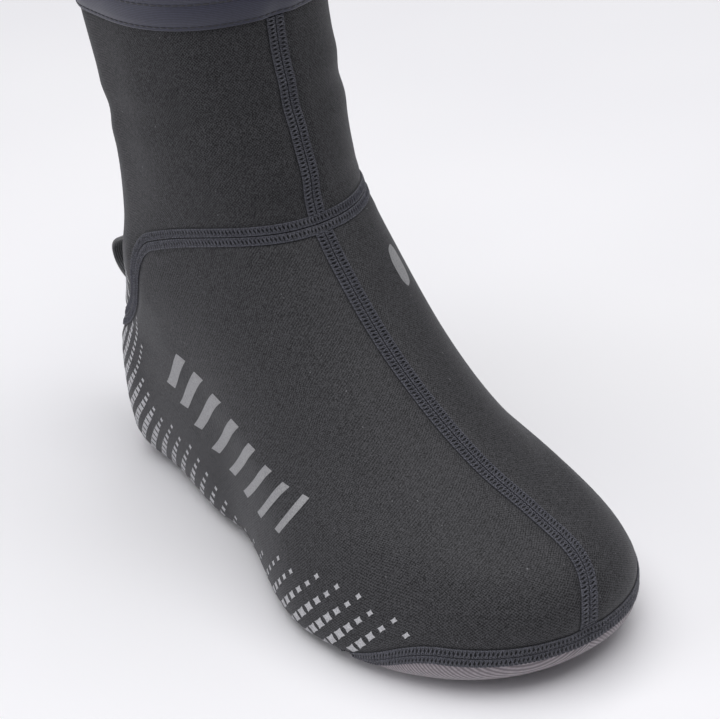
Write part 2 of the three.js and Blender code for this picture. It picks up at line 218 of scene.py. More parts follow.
@dataclass(frozen=True)
class BootSkin:
    """The boot's outer skin, as a stack of rings from the underside to the collar.

    Angles run round the boot in radians: 0 at the heel back, pi at the front, negative on the
    outer side. Levels run up the stack. Lengths are in millimetres.
    """

    length: float = 298.0
    height: float = 262.0
    ball_width: float = 112.0
    toe_spring: float = 8.0
    arch_rise: float = 3.0
    place: tuple[float, float, float] = (-138.459, 3.062, 0.0)
    # The ankle seam dives from the ankle's level to the heel's, between two angles in degrees
    ankle_level: float = 10.0
    dip_level: float = 5.5
    dip_end: float = 5.0
    dip_start: float = 92.0
    # Lines of the seams, which lie in shallow grooves
    grooves: tuple[Array, ...] = ()
    groove_depth: float = 0.55
    groove_half: float = 4.6
    shoulder_place: float = 8.0
    shoulder_width: float = 3.0
    folds: tuple[Fold, ...] = ()

    def value(self, name: str, level: Array) -> Array:
        """One column of the ring table at any level.

        Args:
            name: the column.
            level: levels between the rings.

        Returns:
            The column's values there, on a smooth curve through the rows.
        """
        table = RINGS[:, COLUMNS.index(name)]
        row = np.clip(np.floor(level).astype(int), 0, TOP - 1)
        t = level - row
        before, a, b, after = (table[np.clip(row + k, 0, TOP)] for k in (-1, 0, 1, 2))
        slope_a, slope_b = (b - before) / 2, (after - a) / 2
        bend = 2 * a - 2 * b + slope_a + slope_b
        lean = 3 * (b - a) - 2 * slope_a - slope_b
        return ((bend * t + lean) * t + slope_a) * t + a

    def underside(self, x: Array) -> Array:
        """Height of the underside at a distance from the heel back.

        Args:
            x: millimetres from the heel back.

        Returns:
            Heights: 0 under heel and ball, raised at the arch and at the toe.
        """
        share = x / self.length
        toe = np.clip((share - 0.74) / 0.26, 0, 1)
        arch = np.sin(np.pi * np.clip((share - 0.28) / 0.3, 0, 1))
        return self.toe_spring * toe**2 + self.arch_rise * arch**2

    def smooth_point(self, angle: Array, level: Array) -> Array:
        """Points of the skin without its folds.

        Args:
            angle: angles round the boot.
            level: levels, of the same shape.

        Returns:
            Points in millimetres in the shared frame.
        """
        angle, level = np.broadcast_arrays(np.asarray(angle, float), np.asarray(level, float))
        f = (1 - np.cos(angle)) / 2
        outer = np.sin(angle) < 0
        back_x, front_x = self.value("backX", level), self.value("frontX", level)
        x = self.length * (back_x + (front_x - back_x) * f)
        back_z, front_z = self.value("backZ", level), self.value("frontZ", level)
        bow = self.value("rise", level) * 4 * f * (1 - f)
        lift = 1 - ease(level / 5)
        z = self.height * (back_z + (front_z - back_z) * f + bow) + self.underside(x) * lift
        waist = self.value("waist", level)
        ball = np.where(outer, self.value("outer", level), self.value("inner", level))
        heel = self.value("heel", level)
        hind = heel + (waist - heel) * ease((f - 0.15) / (0.38 - 0.15))
        spot = np.where(outer, 0.68, 0.70)
        width = hind + (ball - waist) * ease((f - 0.38) / (spot - 0.38))
        toe_round = np.where(outer, self.value("outerRound", level), self.value("innerRound", level))
        ends = self.cap(f, self.value("heelRound", level)) * self.cap(1 - f, toe_round)
        half = self.ball_width * width * ends
        y = np.where(outer, -half, half) + self.ball_width * self.value("turn", level) * ease(2 * f - 1)
        return np.stack([x, y, z], axis=-1) + np.array(self.place)

    @staticmethod
    def cap(share: Array, rounded: Array) -> Array:
        """The rounding of a ring's end.

        Args:
            share: how far along the ring, from its end.
            rounded: the share that is rounded.

        Returns:
            0 at the end, and 1 past the rounded share.
        """
        t = np.clip(1 - share / rounded, 0, 1)
        return (1 - t**2.2) ** (1 / 2.2)

    def outward(self, angle: Array, level: Array) -> Array:
        """Outward directions of the skin.

        Args:
            angle: angles round the boot.
            level: levels, of the same shape.

        Returns:
            Unit vectors.
        """
        low, high = np.maximum(level - 0.05, 0), np.minimum(level + 0.05, TOP)
        round_way = self.smooth_point(angle + 0.02, level) - self.smooth_point(angle - 0.02, level)
        rising = self.smooth_point(angle, high) - self.smooth_point(angle, low)
        return unit(np.cross(rising, round_way))

    def relief(self, points: Array) -> Array:
        """How far the folds push each point out, in millimetres.

        Args:
            points: points of the smooth skin.

        Returns:
            One number a point, negative in a trough.
        """
        total = np.zeros(points.shape[:-1])
        for fold in self.folds:
            t = np.linspace(0, 1, 61)
            angle = np.radians(fold.start[0] + (fold.end[0] - fold.start[0]) * t)
            level = fold.start[1] + (fold.end[1] - fold.start[1]) * t
            gap, along = nearest(points, self.smooth_point(angle, level))
            reach = gap / fold.width
            fade = np.sin(np.pi * along) ** 0.7 if fold.tapered else 1.0
            trough = -np.exp(-(reach**2)) + 0.45 * np.exp(-((reach - 1.9) ** 2) / 0.7)
            total = total + fold.depth * fade * trough
        for groove in self.grooves:
            gap, _ = nearest(points, groove)
            shoulder = 0.5 * np.exp(-(((gap - self.shoulder_place) / self.shoulder_width) ** 2))
            total = total + self.groove_depth * (shoulder - np.exp(-((gap / self.groove_half) ** 4)))
        return total

    def surface(self, angle: Array, level: Array, distance: Array | float = 0.0) -> Array:
        """Points at a distance from the folded skin.

        Args:
            angle: angles round the boot.
            level: levels, of the same shape.
            distance: millimetres outwards.

        Returns:
            Points in millimetres in the shared frame.
        """
        angle, level = np.broadcast_arrays(np.asarray(angle, float), np.asarray(level, float))
        base = self.smooth_point(angle, level)
        push = (np.asarray(distance) + self.relief(base))[..., None]
        return base + self.outward(angle, level) * push

    def climb(self, angle: Array, level: Array, distance: Array | float) -> Array:
        """Levels that lie a distance above others, measured over the skin.

        Args:
            angle: angles round the boot.
            level: levels to start from.
            distance: millimetres upwards.

        Returns:
            The levels reached.
        """
        angle, here = np.broadcast_arrays(np.asarray(angle, float), np.asarray(level, float))
        here = np.array(here, float)
        steps = max(8, int(np.max(np.abs(distance)) / 3))
        for _ in range(steps):
            low, high = np.maximum(here - 0.02, 0), np.minimum(here + 0.02, TOP)
            span = np.linalg.norm(self.smooth_point(angle, high) - self.smooth_point(angle, low), axis=-1)
            here = np.clip(here + distance / steps / (span / (high - low)), 0, TOP)
        return here

    def walk(self, angle: Array, level: Array, distance: Array | float) -> Array:
        """Angles that lie a distance round the ring from others.

        Args:
            angle: angles to start from.
            level: levels, of the same shape.
            distance: millimetres towards rising angles.

        Returns:
            The angles reached.
        """
        here, level = np.broadcast_arrays(np.asarray(angle, float), np.asarray(level, float))
        here = np.array(here, float)
        steps = 8
        for _ in range(steps):
            gap = self.smooth_point(here + 0.01, level) - self.smooth_point(here - 0.01, level)
            here = here + distance / steps / (np.linalg.norm(gap, axis=-1) / 0.02)
        return here

    def sole_line(self, angle: Array) -> Array:
        """The line where sole cloth and neoprene meet.

        Args:
            angle: angles round the boot.

        Returns:
            Its level at each angle.
        """
        f = (1 - np.cos(angle)) / 2
        toe = ease((f - 0.68) / 0.22)
        heel = 1 - ease((f - 0.01) / 0.14)
        return 0.5 + (2.8 - 0.5) * toe + (2.3 - 0.5) * heel

    def ankle_line(self, angle: Array) -> Array:
        """The line of the ankle seam, which dives over the back of the heel.

        Args:
            angle: angles round the boot.

        Returns:
            Its level at each angle.
        """
        folded = np.abs((np.asarray(angle) + np.pi) % (2 * np.pi) - np.pi)
        dive = 1 - ease((np.degrees(folded) - self.dip_end) / (self.dip_start - self.dip_end))
        return self.ankle_level + (self.dip_level - self.ankle_level) * dive


# Making meshes


def deselect() -> None:
    """Leave nothing selected."""
    for other in bpy.context.view_layer.objects:
        other.select_set(False)


def settle(obj: Thing) -> None:
    """Leave one object selected and active.

    Args:
        obj: the object.
    """
    deselect()
    obj.select_set(True)
    bpy.context.view_layer.objects.active = obj


def apply_modifier(obj: Thing, kind: str, **settings: object) -> None:
    """Add a modifier to an object and apply it.

    Args:
        obj: the object.
        kind: the modifier's type.
        settings: its settings by name.
    """
    settle(obj)
    modifier = obj.modifiers.new(kind.lower(), kind)
    for key, setting in settings.items():
        setattr(modifier, key, setting)
    bpy.ops.object.modifier_apply(modifier=modifier.name)


def cloth(name: str, points: Array, uv: Array, outward: Array, close: bool = True) -> Thing:
    """Lay a grid of cloth over given points.

    Args:
        name: the piece's name.
        points: rows of points in millimetres.
        uv: for each point its place on the cloth in millimetres.
        outward: for each point the direction that faces out.
        close: whether points that meet are joined.

    Returns:
        The new object, faces outwards, with a UV map in millimetres.
    """
    rows, columns = points.shape[:2]
    deselect()
    bpy.ops.mesh.primitive_grid_add(x_subdivisions=columns - 1, y_subdivisions=rows - 1, size=1.0)
    obj = bpy.context.object
    obj.name = obj.data.name = name
    mesh = obj.data
    flat = np.empty(len(mesh.vertices) * 3)
    mesh.vertices.foreach_get("co", flat)
    flat = flat.reshape(-1, 3)
    column = np.rint((flat[:, 0] + 0.5) * (columns - 1)).astype(int)
    row = np.rint((flat[:, 1] + 0.5) * (rows - 1)).astype(int)
    mesh.vertices.foreach_set("co", (points[row, column] * MM).ravel())
    corners = np.empty(len(mesh.loops), dtype=np.int32)
    mesh.loops.foreach_get("vertex_index", corners)
    mesh.uv_layers[0].name = "cloth_mm"
    mesh.uv_layers[0].data.foreach_set("uv", uv[row[corners], column[corners]].ravel())
    mesh.update()
    normals = np.empty(len(mesh.vertices) * 3)
    mesh.vertex_normals.foreach_get("vector", normals)
    if (normals.reshape(-1, 3) * outward[row, column]).sum() < 0:
        mesh.flip_normals()
    settle(obj)
    if close:
        bpy.ops.object.mode_set(mode="EDIT")
        bpy.ops.mesh.select_all(action="SELECT")
        bpy.ops.mesh.remove_doubles(threshold=2e-6)
        bpy.ops.object.mode_set(mode="OBJECT")
    return obj


def finish_piece(obj: Thing, *materials: bpy.types.Material, angle: float = 50.0) -> None:
    """Give a piece its materials and smooth shading.

    Args:
        obj: the piece.
        materials: its materials, the outer one first.
        angle: edges sharper than this many degrees stay sharp.
    """
    obj.data.materials.clear()
    for material in materials:
        obj.data.materials.append(material)
    settle(obj)
    bpy.ops.object.shade_smooth_by_angle(angle=math.radians(angle))


def tubes(name: str, paths: Array, up: Array, radius: float, sides: int = 5) -> Thing:
    """Many short threads as one mesh.

    Args:
        name: the piece's name.
        paths: threads by points, in millimetres.
        up: for each point a direction away from the cloth.
        radius: thread radius in millimetres.
        sides: faces round a thread.

    Returns:
        The new object.
    """
    count, along = paths.shape[:2]
    tangent = unit(np.gradient(paths, axis=1))
    side = unit(np.cross(tangent, up))
    lift = unit(np.cross(side, tangent))
    turn = np.linspace(0, 2 * np.pi, sides, endpoint=False)
    ring = side[..., None, :] * np.cos(turn)[:, None] + lift[..., None, :] * np.sin(turn)[:, None]
    vertices = (paths[..., None, :] + ring * radius).reshape(-1, 3) * MM
    start = (np.arange(count) * along * sides)[:, None, None]
    ring_start = (np.arange(along - 1) * sides)[None, :, None]
    here = start + ring_start + np.arange(sides)[None, None, :]
    there = start + ring_start + ((np.arange(sides) + 1) % sides)[None, None, :]
    quads = np.stack([here, there, there + sides, here + sides], axis=-1).reshape(-1, 4)
    first = start[:, 0] + np.arange(sides)[::-1][None, :]
    last = start[:, 0] + (along - 1) * sides + np.arange(sides)[None, :]
    faces = quads.tolist() + first.tolist() + last.tolist()
    mesh = bpy.data.meshes.new(name)
    mesh.from_pydata(vertices.tolist(), [], faces)
    mesh.update()
    obj = bpy.data.objects.new(name, mesh)
    bpy.context.collection.objects.link(obj)
    return obj


def cloth_uv(points: Array) -> Array:
    """Places on the cloth in millimetres, measured along rows and up columns.

    Args:
        points: rows of points in millimetres; the middle column is the heel back.

    Returns:
        Two numbers for each point.
    """
    u = run_along(points, axis=1)
    u = u - u[:, [points.shape[1] // 2]]
    return np.stack([u, run_along(points)], axis=-1)


# Finishes


def add_node(
    tree: Tree,
    kind: str,
    settings: dict[str, object] | None = None,
    inputs: dict[str | int, object] | None = None,
) -> bpy.types.Node:
    """Add a node to a material.

    Args:
        tree: the material's node tree.
        kind: the node's type.
        settings: the node's own settings.
        inputs: for each socket a value, or another node's output to link.

    Returns:
        The new node.
    """
    node = tree.nodes.new(kind)
    for key, setting in (settings or {}).items():
        setattr(node, key, setting)
    for key, given in (inputs or {}).items():
        if isinstance(given, Socket):
            tree.links.new(given, node.inputs[key])
        else:
            node.inputs[key].default_value = given
    return node


def colour_ramp(tree: Tree, fac: Socket, *stops: tuple[float, int]) -> Socket:
    """Colours along a value.

    Args:
        tree: the material's node tree.
        fac: the value.
        stops: positions and sRGB hex colours.

    Returns:
        The colour output.
    """
    node = add_node(tree, "ShaderNodeValToRGB", inputs={"Fac": fac})
    ramp = node.color_ramp
    while len(ramp.elements) < len(stops):
        ramp.elements.new(0.5)
    for element, (position, colour) in zip(ramp.elements, stops):
        element.position = position
        element.color = linear(colour)
    return node.outputs["Color"]


def blank_material(name: str) -> tuple[bpy.types.Material, Tree, bpy.types.Node]:
    """A new material with its shader.

    Args:
        name: the material's name.

    Returns:
        The material, its node tree and its Principled shader.
    """
    material = bpy.data.materials.new(name)
    material.use_nodes = True
    tree = material.node_tree
    shader = next(node for node in tree.nodes if node.type == "BSDF_PRINCIPLED")
    return material, tree, shader


def bands(tree: Tree, vector: Socket, pitch: float, turn: float, waver: float = 0.0) -> Socket:
    """Even stripes across the cloth.

    Args:
        tree: the material's node tree.
        vector: places on the cloth in millimetres.
        pitch: stripe spacing in millimetres.
        turn: direction in degrees.
        waver: how unsteady the stripes are.

    Returns:
        A value that swings between 0 and 1.
    """
    rotation = (0, 0, math.radians(turn))
    turned = add_node(tree, "ShaderNodeMapping", inputs={"Vector": vector, "Rotation": rotation})
    # A wave of scale 1 repeats every pi/10 units
    scale = math.pi / 10 / pitch
    wave = add_node(
        tree, "ShaderNodeTexWave", {"wave_type": "BANDS", "bands_direction": "X"},
        {"Vector": turned.outputs[0], "Scale": scale, "Distortion": waver, "Detail": 1.0,
         "Detail Scale": 0.6},
    )
    return wave.outputs["Fac"]


def blend_values(tree: Tree, a: bpy.types.NodeSocket, b: bpy.types.NodeSocket, how: str) -> Socket:
    """Two values joined by one sum.

    Args:
        tree: the material's node tree.
        a: first value.
        b: second value.
        how: the sum, such as ADD or MULTIPLY.

    Returns:
        The result.
    """
    return add_node(tree, "ShaderNodeMath", {"operation": how}, {0: a, 1: b}).outputs[0]


def noise(tree: Tree, vector: Socket, scale: float, detail: float = 2.0, roughness: float = 0.5) -> Socket:
    """Soft random values.

    Args:
        tree: the material's node tree.
        vector: places to read it at.
        scale: features in one unit.
        detail: octaves of finer noise.
        roughness: strength of the finer octaves.

    Returns:
        Values about 0.5.
    """
    inputs = {"Vector": vector, "Scale": scale, "Detail": detail, "Roughness": roughness}
    return add_node(tree, "ShaderNodeTexNoise", inputs=inputs).outputs["Fac"]


def add_scaled(tree: Tree, value: Socket, factor: float, base: Socket) -> Socket:
    """A value times a factor, added to another.

    Args:
        tree: the material's node tree.
        value: the value to scale.
        factor: the factor.
        base: what it is added to.

    Returns:
        The sum.
    """
    inputs = {0: value, 1: factor, 2: base}
    return add_node(tree, "ShaderNodeMath", {"operation": "MULTIPLY_ADD"}, inputs).outputs[0]


def map_range(tree: Tree, value: Socket, low: float, high: float, to_low: float, to_high: float) -> Socket:
    """A value moved from one range to another.

    Args:
        tree: the material's node tree.
        value: the value.
        low: start of its range.
        high: end of its range.
        to_low: start of the new range.
        to_high: end of the new range.

    Returns:
        The value in the new range.
    """
    inputs = {0: value, 1: low, 2: high, 3: to_low, 4: to_high}
    return add_node(tree, "ShaderNodeMapRange", inputs=inputs).outputs[0]


def add_bump(tree: Tree, shader: bpy.types.Node, height: Socket, strength: float, distance: float) -> None:
    """Give a shader a bumpy surface.

    Args:
        tree: the material's node tree.
        shader: the shader.
        height: the bumps.
        strength: from 0 to 1.
        distance: their height in metres.
    """
    inputs = {"Strength": strength, "Distance": distance, "Height": height}
    bump = add_node(tree, "ShaderNodeBump", inputs=inputs)
    tree.links.new(bump.outputs[0], shader.inputs["Normal"])


@dataclass(frozen=True)
class KnitFacedNeoprene:
    """Chloroprene foam faced with nylon jersey: matt, with a fine slanted knit and a soft pale rim."""

    name: str = "nylon jersey on neoprene"
    dark: int = 0x0F0F11
    pale: int = 0x4D4D50
    lint: int = 0x8A8A8E
    roughness: float = 0.68
    sheen: float = 0.12
    # Real jersey has about 0.4 mm a stitch; drawn at 0.9 mm so that its slanted lines show
    pitch: float = 0.9
    knit_share: float = 0.12
    yarn_share: float = 0.22

    def build(self) -> bpy.types.Material:
        """Make the material.

        Returns:
            The new material.
        """
        material, tree, shader = blank_material(self.name)
        place = add_node(tree, "ShaderNodeTexCoord").outputs["Object"]
        # Loops of about 0.5 mm, then yarn of about 1.5 mm, then patches of about 60 mm
        loops, yarn, cloud = (noise(tree, place, scale, roughness=0.6) for scale in (2100.0, 650.0, 16.0))
        cloth_place = add_node(tree, "ShaderNodeUVMap", {"uv_map": "cloth_mm"}).outputs["UV"]
        left, right = (bands(tree, cloth_place, self.pitch, turn, 0.8) for turn in (45, -45))
        knit = blend_values(tree, left, right, "ADD")
        grain = add_scaled(tree, yarn, self.yarn_share, add_scaled(tree, knit, self.knit_share, loops))
        tone = map_range(tree, grain, 0.57, 0.91, 0.0, 1.0)
        base = colour_ramp(tree, tone, (0.0, self.dark), (1.0, self.pale))
        # Rare specks of lint about half a millimetre wide
        dust = map_range(tree, noise(tree, place, 900.0, detail=0.0), 0.85, 0.90, 0.0, 0.6)
        dusty = add_node(
            tree, "ShaderNodeMix", {"data_type": "RGBA"}, {0: dust, 6: base, 7: linear(self.lint)},
        ).outputs[2]
        rough = map_range(tree, cloud, 0.3, 0.7, self.roughness - 0.06, self.roughness + 0.06)
        tree.links.new(dusty, shader.inputs["Base Color"])
        tree.links.new(rough, shader.inputs["Roughness"])
        shader.inputs["Sheen Weight"].default_value = self.sheen
        shader.inputs["Sheen Roughness"].default_value = 0.4
        shader.inputs["Sheen Tint"].default_value = linear(0xE6E6EC)
        shader.inputs["Specular IOR Level"].default_value = 0.3
        add_bump(tree, shader, grain, 0.5, 0.00025)
        return material


@dataclass(frozen=True)
class StitchThread:
    """Textured polyester thread: slightly glossy, each strand a little different."""

    name: str
    dark: int
    pale: int
    roughness: float = 0.5

    def build(self) -> bpy.types.Material:
        """Make the material.

        Returns:
            The new material.
        """
        material, tree, shader = blank_material(self.name)
        place = add_node(tree, "ShaderNodeTexCoord").outputs["Object"]
        # Strands of about 0.7 mm
        strand = noise(tree, place, 1400.0)
        base = colour_ramp(tree, strand, (0.3, self.dark), (0.7, self.pale))
        tree.links.new(base, shader.inputs["Base Color"])
        shader.inputs["Roughness"].default_value = self.roughness
        shader.inputs["Sheen Weight"].default_value = 0.25
        add_bump(tree, shader, strand, 0.4, 0.0002)
        return material


@dataclass(frozen=True)
class RibbedCloth:
    """Woven or knitted cloth with one set of ribs, such as twill, elastic or webbing."""

    name: str
    dark: int
    pale: int
    pitch: float
    turn: float
    roughness: float = 0.7
    sheen: float = 0.2
    depth: float = 0.0002

    def build(self) -> bpy.types.Material:
        """Make the material.

        Returns:
            The new material.
        """
        material, tree, shader = blank_material(self.name)
        place = add_node(tree, "ShaderNodeUVMap", {"uv_map": "cloth_mm"}).outputs["UV"]
        rib = bands(tree, place, self.pitch, self.turn, 0.3)
        # Unevenness of about 1.2 mm
        tone = blend_values(tree, rib, noise(tree, place, 0.8, detail=3.0), "MULTIPLY")
        base = colour_ramp(tree, tone, (0.08, self.dark), (0.5, self.pale))
        tree.links.new(base, shader.inputs["Base Color"])
        shader.inputs["Roughness"].default_value = self.roughness
        shader.inputs["Sheen Weight"].default_value = self.sheen
        add_bump(tree, shader, rib, 0.5, self.depth)
        return material


@dataclass(frozen=True)
class ReflectiveInk:
    """Screen-printed ink full of glass beads: pale grey, finely speckled, worn thin in places."""

    name: str
    dark: int
    pale: int

    def build(self) -> bpy.types.Material:
        """Make the material.

        Returns:
            The new material.
        """
        material, tree, shader = blank_material(self.name)
        place = add_node(tree, "ShaderNodeTexCoord").outputs["Object"]
        # Speckles of about 0.7 mm
        beads = noise(tree, place, 1500.0, roughness=0.7)
        base = colour_ramp(tree, beads, (0.32, self.dark), (0.62, self.pale))
        tree.links.new(base, shader.inputs["Base Color"])
        shader.inputs["Roughness"].default_value = 0.5
        shader.inputs["Metallic"].default_value = 0.15
        add_bump(tree, shader, beads, 0.2, 0.0001)
        return material


class Finish(Enum):
    """The finishes of the overshoe."""

    NEOPRENE = KnitFacedNeoprene()
    LINING = KnitFacedNeoprene("brushed jersey lining", 0x18181A, 0x343437, 0x3A3A3C, 0.85, 0.3)
    SEAM = StitchThread("polyester flatlock thread", 0x272831, 0x565762, 0.6)
    SEAM_BED = StitchThread("flatlock seam bed", 0x101115, 0x1C1D23, 0.8)
    HEM_THREAD = StitchThread("dark hem thread", 0x1C1C22, 0x2C2C36)
    COLLAR = RibbedCloth("navy stretch knit", 0x30313F, 0x424357, 0.7, 90, 0.5, 0.25, 0.00008)
    SOLE = RibbedCloth("grey abrasion twill", 0x726B70, 0xA29A9F, 0.95, 28, 0.75, 0.25, 0.00025)
    WEBBING = RibbedCloth("black grosgrain webbing", 0x28292B, 0x6C6D71, 1.1, 90, 0.5, 0.4, 0.0003)
    INK = ReflectiveInk("reflective bead ink", 0x99999D, 0xC9C9CC)
    MARK = ReflectiveInk("dull reflective ink", 0x858587, 0xA3A3A5)


class Wardrobe:
    """Builds each finish once and hands it out."""

    def __init__(self) -> None:
        """Start with nothing built."""
        self.made: dict[Finish, bpy.types.Material] = {}

    def get(self, finish: Finish) -> bpy.types.Material:
        """Hand out a finish's material.

        Args:
            finish: which finish.

        Returns:
            Its material, built the first time.
        """
        if finish not in self.made:
            self.made[finish] = finish.value.build()
        return self.made[finish]


# The pieces


@dataclass
class Walls:
    """Foot and shaft: hollow neoprene tubes between two lines round the boot."""

    skin: BootSkin
    wardrobe: Wardrobe
    thickness: float = 3.0
    rim_gap: float = 0.45
    gap: float = 0.3
    collar_top: float = 1.5
    around: int = 240
    foot_rows: int = 84
    shaft_rows: int = 60

    def ring_angles(self) -> Array:
        """Angles round the boot, from the front to the front.

        Returns:
            The angles, the first and the last at the same place.
        """
        return packed_angles(-np.pi, np.pi, self.around)

    def tube(self, name: str, low: Array, high: Array, rows: int) -> Thing:
        """One neoprene tube.

        Args:
            name: the piece's name.
            low: level of its lower edge at each angle.
            high: level of its upper edge at each angle.
            rows: rows of faces.

        Returns:
            The finished piece.
        """
        angles = np.broadcast_to(self.ring_angles(), (rows + 1, self.around + 1))
        levels = spread(low, high, rows + 1)
        points = self.skin.surface(angles, levels)
        uv = cloth_uv(points)
        uv[..., 0] = uv[rows // 2, :, 0]
        obj = cloth(name, points, uv, self.skin.outward(angles, levels))
        wall = {"thickness": self.thickness * MM, "offset": -1.0}
        apply_modifier(obj, "SOLIDIFY", **wall, material_offset=1, material_offset_rim=0)
        finish_piece(obj, self.wardrobe.get(Finish.NEOPRENE), self.wardrobe.get(Finish.LINING))
        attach(obj, "root")
        return obj

    def build(self) -> None:
        """Build foot and shaft in the place of their solids."""
        angles = self.ring_angles()
        ankle = self.skin.ankle_line(angles)
        rim = self.skin.climb(angles, self.skin.sole_line(angles), self.rim_gap)
        foot = self.tube("neoprene_foot", rim, self.skin.climb(angles, ankle, -self.gap), self.foot_rows)
        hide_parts("upper")
        top = self.skin.climb(angles, np.full_like(angles, TOP), -self.collar_top)
        shaft = self.tube("neoprene_shaft", self.skin.climb(angles, ankle, self.gap), top, self.shaft_rows)
        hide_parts("shaft")
        log.info("walls: foot %d and shaft %d faces", len(foot.data.polygons), len(shaft.data.polygons))


class Across(Enum):
    """Which way a seam's width runs."""

    LEVELS = "levels"
    ANGLES = "angles"


@dataclass
class FlatlockSeam:
    """A flatlock seam: a low bed, two ladders of cover thread and four rows of needle stitches."""

    name: str
    node: str
    skin: BootSkin
    wardrobe: Wardrobe
    angles: Array
    levels: Array
    across: Across
    pitch: float = 1.7
    closed: bool = False
    bed_step: float = 0.75
    tape: float = 0.25
    end_margin: float = 0.9
    unevenness: float = 0.12
    # Thread radii, and how high the threads lie above the bed at their ends and in their middle
    cover_thread: float = 0.3
    cover_lift: float = 0.03
    needle_thread: float = 0.32
    needle_lift: float = 0.1
    needle_arch: float = 0.3
    needle_length: float = 1.15
    needle_rows: tuple[float, ...] = (-3.75, -0.55, 0.55, 3.75)
    # Cover threads: from and to across the seam, lean along it, and rise in their middle
    ladders: tuple[tuple[float, float, float, float], ...] = (
        (-3.95, -0.35, 0.6, 0.26),
        (-3.95, -0.35, -0.85, 0.1),
        (0.35, 3.95, -0.6, 0.26),
        (0.35, 3.95, 0.85, 0.1),
    )
    # The bed's profile: places across the seam, and heights there
    rows: tuple[float, ...] = (
        -4.25, -4.0, -3.5, -2.6, -1.6, -0.8, -0.3, 0.0, 0.3, 0.8, 1.6, 2.6, 3.5, 4.0, 4.25,
    )
    heights: tuple[float, ...] = (
        0.05, 0.2, 0.38, 0.48, 0.5, 0.45, 0.25, 0.12, 0.25, 0.45, 0.5, 0.48, 0.38, 0.2, 0.05,
    )
    bed: Array = field(init=False)
    normals: Array = field(init=False)
    run: float = field(init=False)

    def __post_init__(self) -> None:
        """Lay out the seam's bed at even steps."""
        way = run_along(self.skin.smooth_point(self.angles, self.levels))
        self.run = float(way[-1])
        steps = int(self.run / self.bed_step) + 1
        even = np.linspace(0, self.run, steps)
        angle = np.interp(even, way, self.angles)[:, None]
        level = np.interp(even, way, self.levels)[:, None]
        offsets = np.array(self.rows)[None, :]
        if self.across is Across.LEVELS:
            edge = np.maximum(self.skin.climb(angle, level, offsets), level / 2)
            angle = np.broadcast_to(angle, edge.shape)
            level = edge
        else:
            angle = self.skin.walk(angle, np.broadcast_to(level, (steps, len(self.rows))), offsets)
            level = np.broadcast_to(level, angle.shape)
        self.normals = self.skin.outward(angle, level)
        self.bed = self.skin.surface(angle, level, np.array(self.heights)[None, :])

    def at(self, way: Array, offset: Array, lift: Array | float) -> tuple[Array, Array]:
        """Points above the seam's bed.

        Args:
            way: millimetres along the seam.
            offset: millimetres across it.
            lift: millimetres above the bed.

        Returns:
            The points and the outward directions there.
        """
        share = way / self.run
        row = (share % 1.0 if self.closed else np.clip(share, 0, 1)) * (len(self.bed) - 1)
        i = np.clip(np.floor(row).astype(int), 0, len(self.bed) - 2)
        s = (row - i)[..., None]
        column = np.interp(offset, self.rows, np.arange(len(self.rows)))
        j = np.clip(np.floor(column).astype(int), 0, len(self.rows) - 2)
        t = (column - j)[..., None]

        def between(grid: Array) -> Array:
            """Read a grid between its rows and columns.

            Args:
                grid: the bed's points or normals.

            Returns:
                One vector for each place.
            """
            near = grid[i, j] * (1 - t) + grid[i, j + 1] * t
            far = grid[i + 1, j] * (1 - t) + grid[i + 1, j + 1] * t
            return near * (1 - s) + far * s

        normal = unit(between(self.normals))
        return between(self.bed) + normal * np.asarray(lift)[..., None], normal

    def threads(self) -> Thing:
        """The cover ladders and needle rows as one piece.

        Returns:
            The new piece.
        """
        count = int(self.run / self.pitch)
        margin = 0.0 if self.closed else self.end_margin
        start = np.linspace(margin, self.run - margin, count, endpoint=not self.closed)[:, None]
        uneven = np.random.default_rng(11).normal(0.0, self.unevenness, start.shape)
        t = np.linspace(0, 1, 6)[None, :]
        paths, ups = [], []
        for low, high, slant, lift in self.ladders:
            way = start + (slant + uneven) * (t - 0.5) * 2
            across = low + (high - low) * t + np.zeros_like(start)
            place, up = self.at(way, across, self.cover_lift + lift * np.sin(np.pi * t) + np.abs(uneven))
            paths.append(place)
            ups.append(up)
        name = f"{self.name}_cover_threads"
        ladders = tubes(name, np.concatenate(paths), np.concatenate(ups), self.cover_thread)
        paths, ups = [], []
        for offset in self.needle_rows:
            way = start + (t - 0.5) * self.needle_length
            lift = self.needle_lift + self.needle_arch * np.sin(np.pi * t) + np.zeros_like(way)
            place, up = self.at(way, offset + np.zeros_like(way), lift)
            paths.append(place)
            ups.append(up)
        name = f"{self.name}_needle_threads"
        rows = tubes(name, np.concatenate(paths), np.concatenate(ups), self.needle_thread)
        settle(rows)
        ladders.select_set(True)
        bpy.context.view_layer.objects.active = ladders
        bpy.ops.object.join()
        ladders.name = ladders.data.name = f"{self.name}_threads"
        return ladders

    def build(self) -> None:
        """Build the seam in the place of its solid."""
        way = np.linspace(0, self.run, len(self.bed))
        uv = np.stack(np.broadcast_arrays(way[:, None], np.array(self.rows)[None, :]), axis=-1)
        tape = cloth(f"{self.name}_bed", self.bed, uv, self.normals, close=self.closed)
        apply_modifier(tape, "SOLIDIFY", thickness=self.tape * MM, offset=-1.0)
        finish_piece(tape, self.wardrobe.get(Finish.SEAM_BED))
        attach(tape, "root")
        if self.node:
            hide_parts(self.node)
        threads = self.threads()
        finish_piece(threads, self.wardrobe.get(Finish.SEAM), angle=70.0)
        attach(threads, "root")
        log.info("%s: %.0f mm, %d faces of thread", self.name, self.run, len(threads.data.polygons))


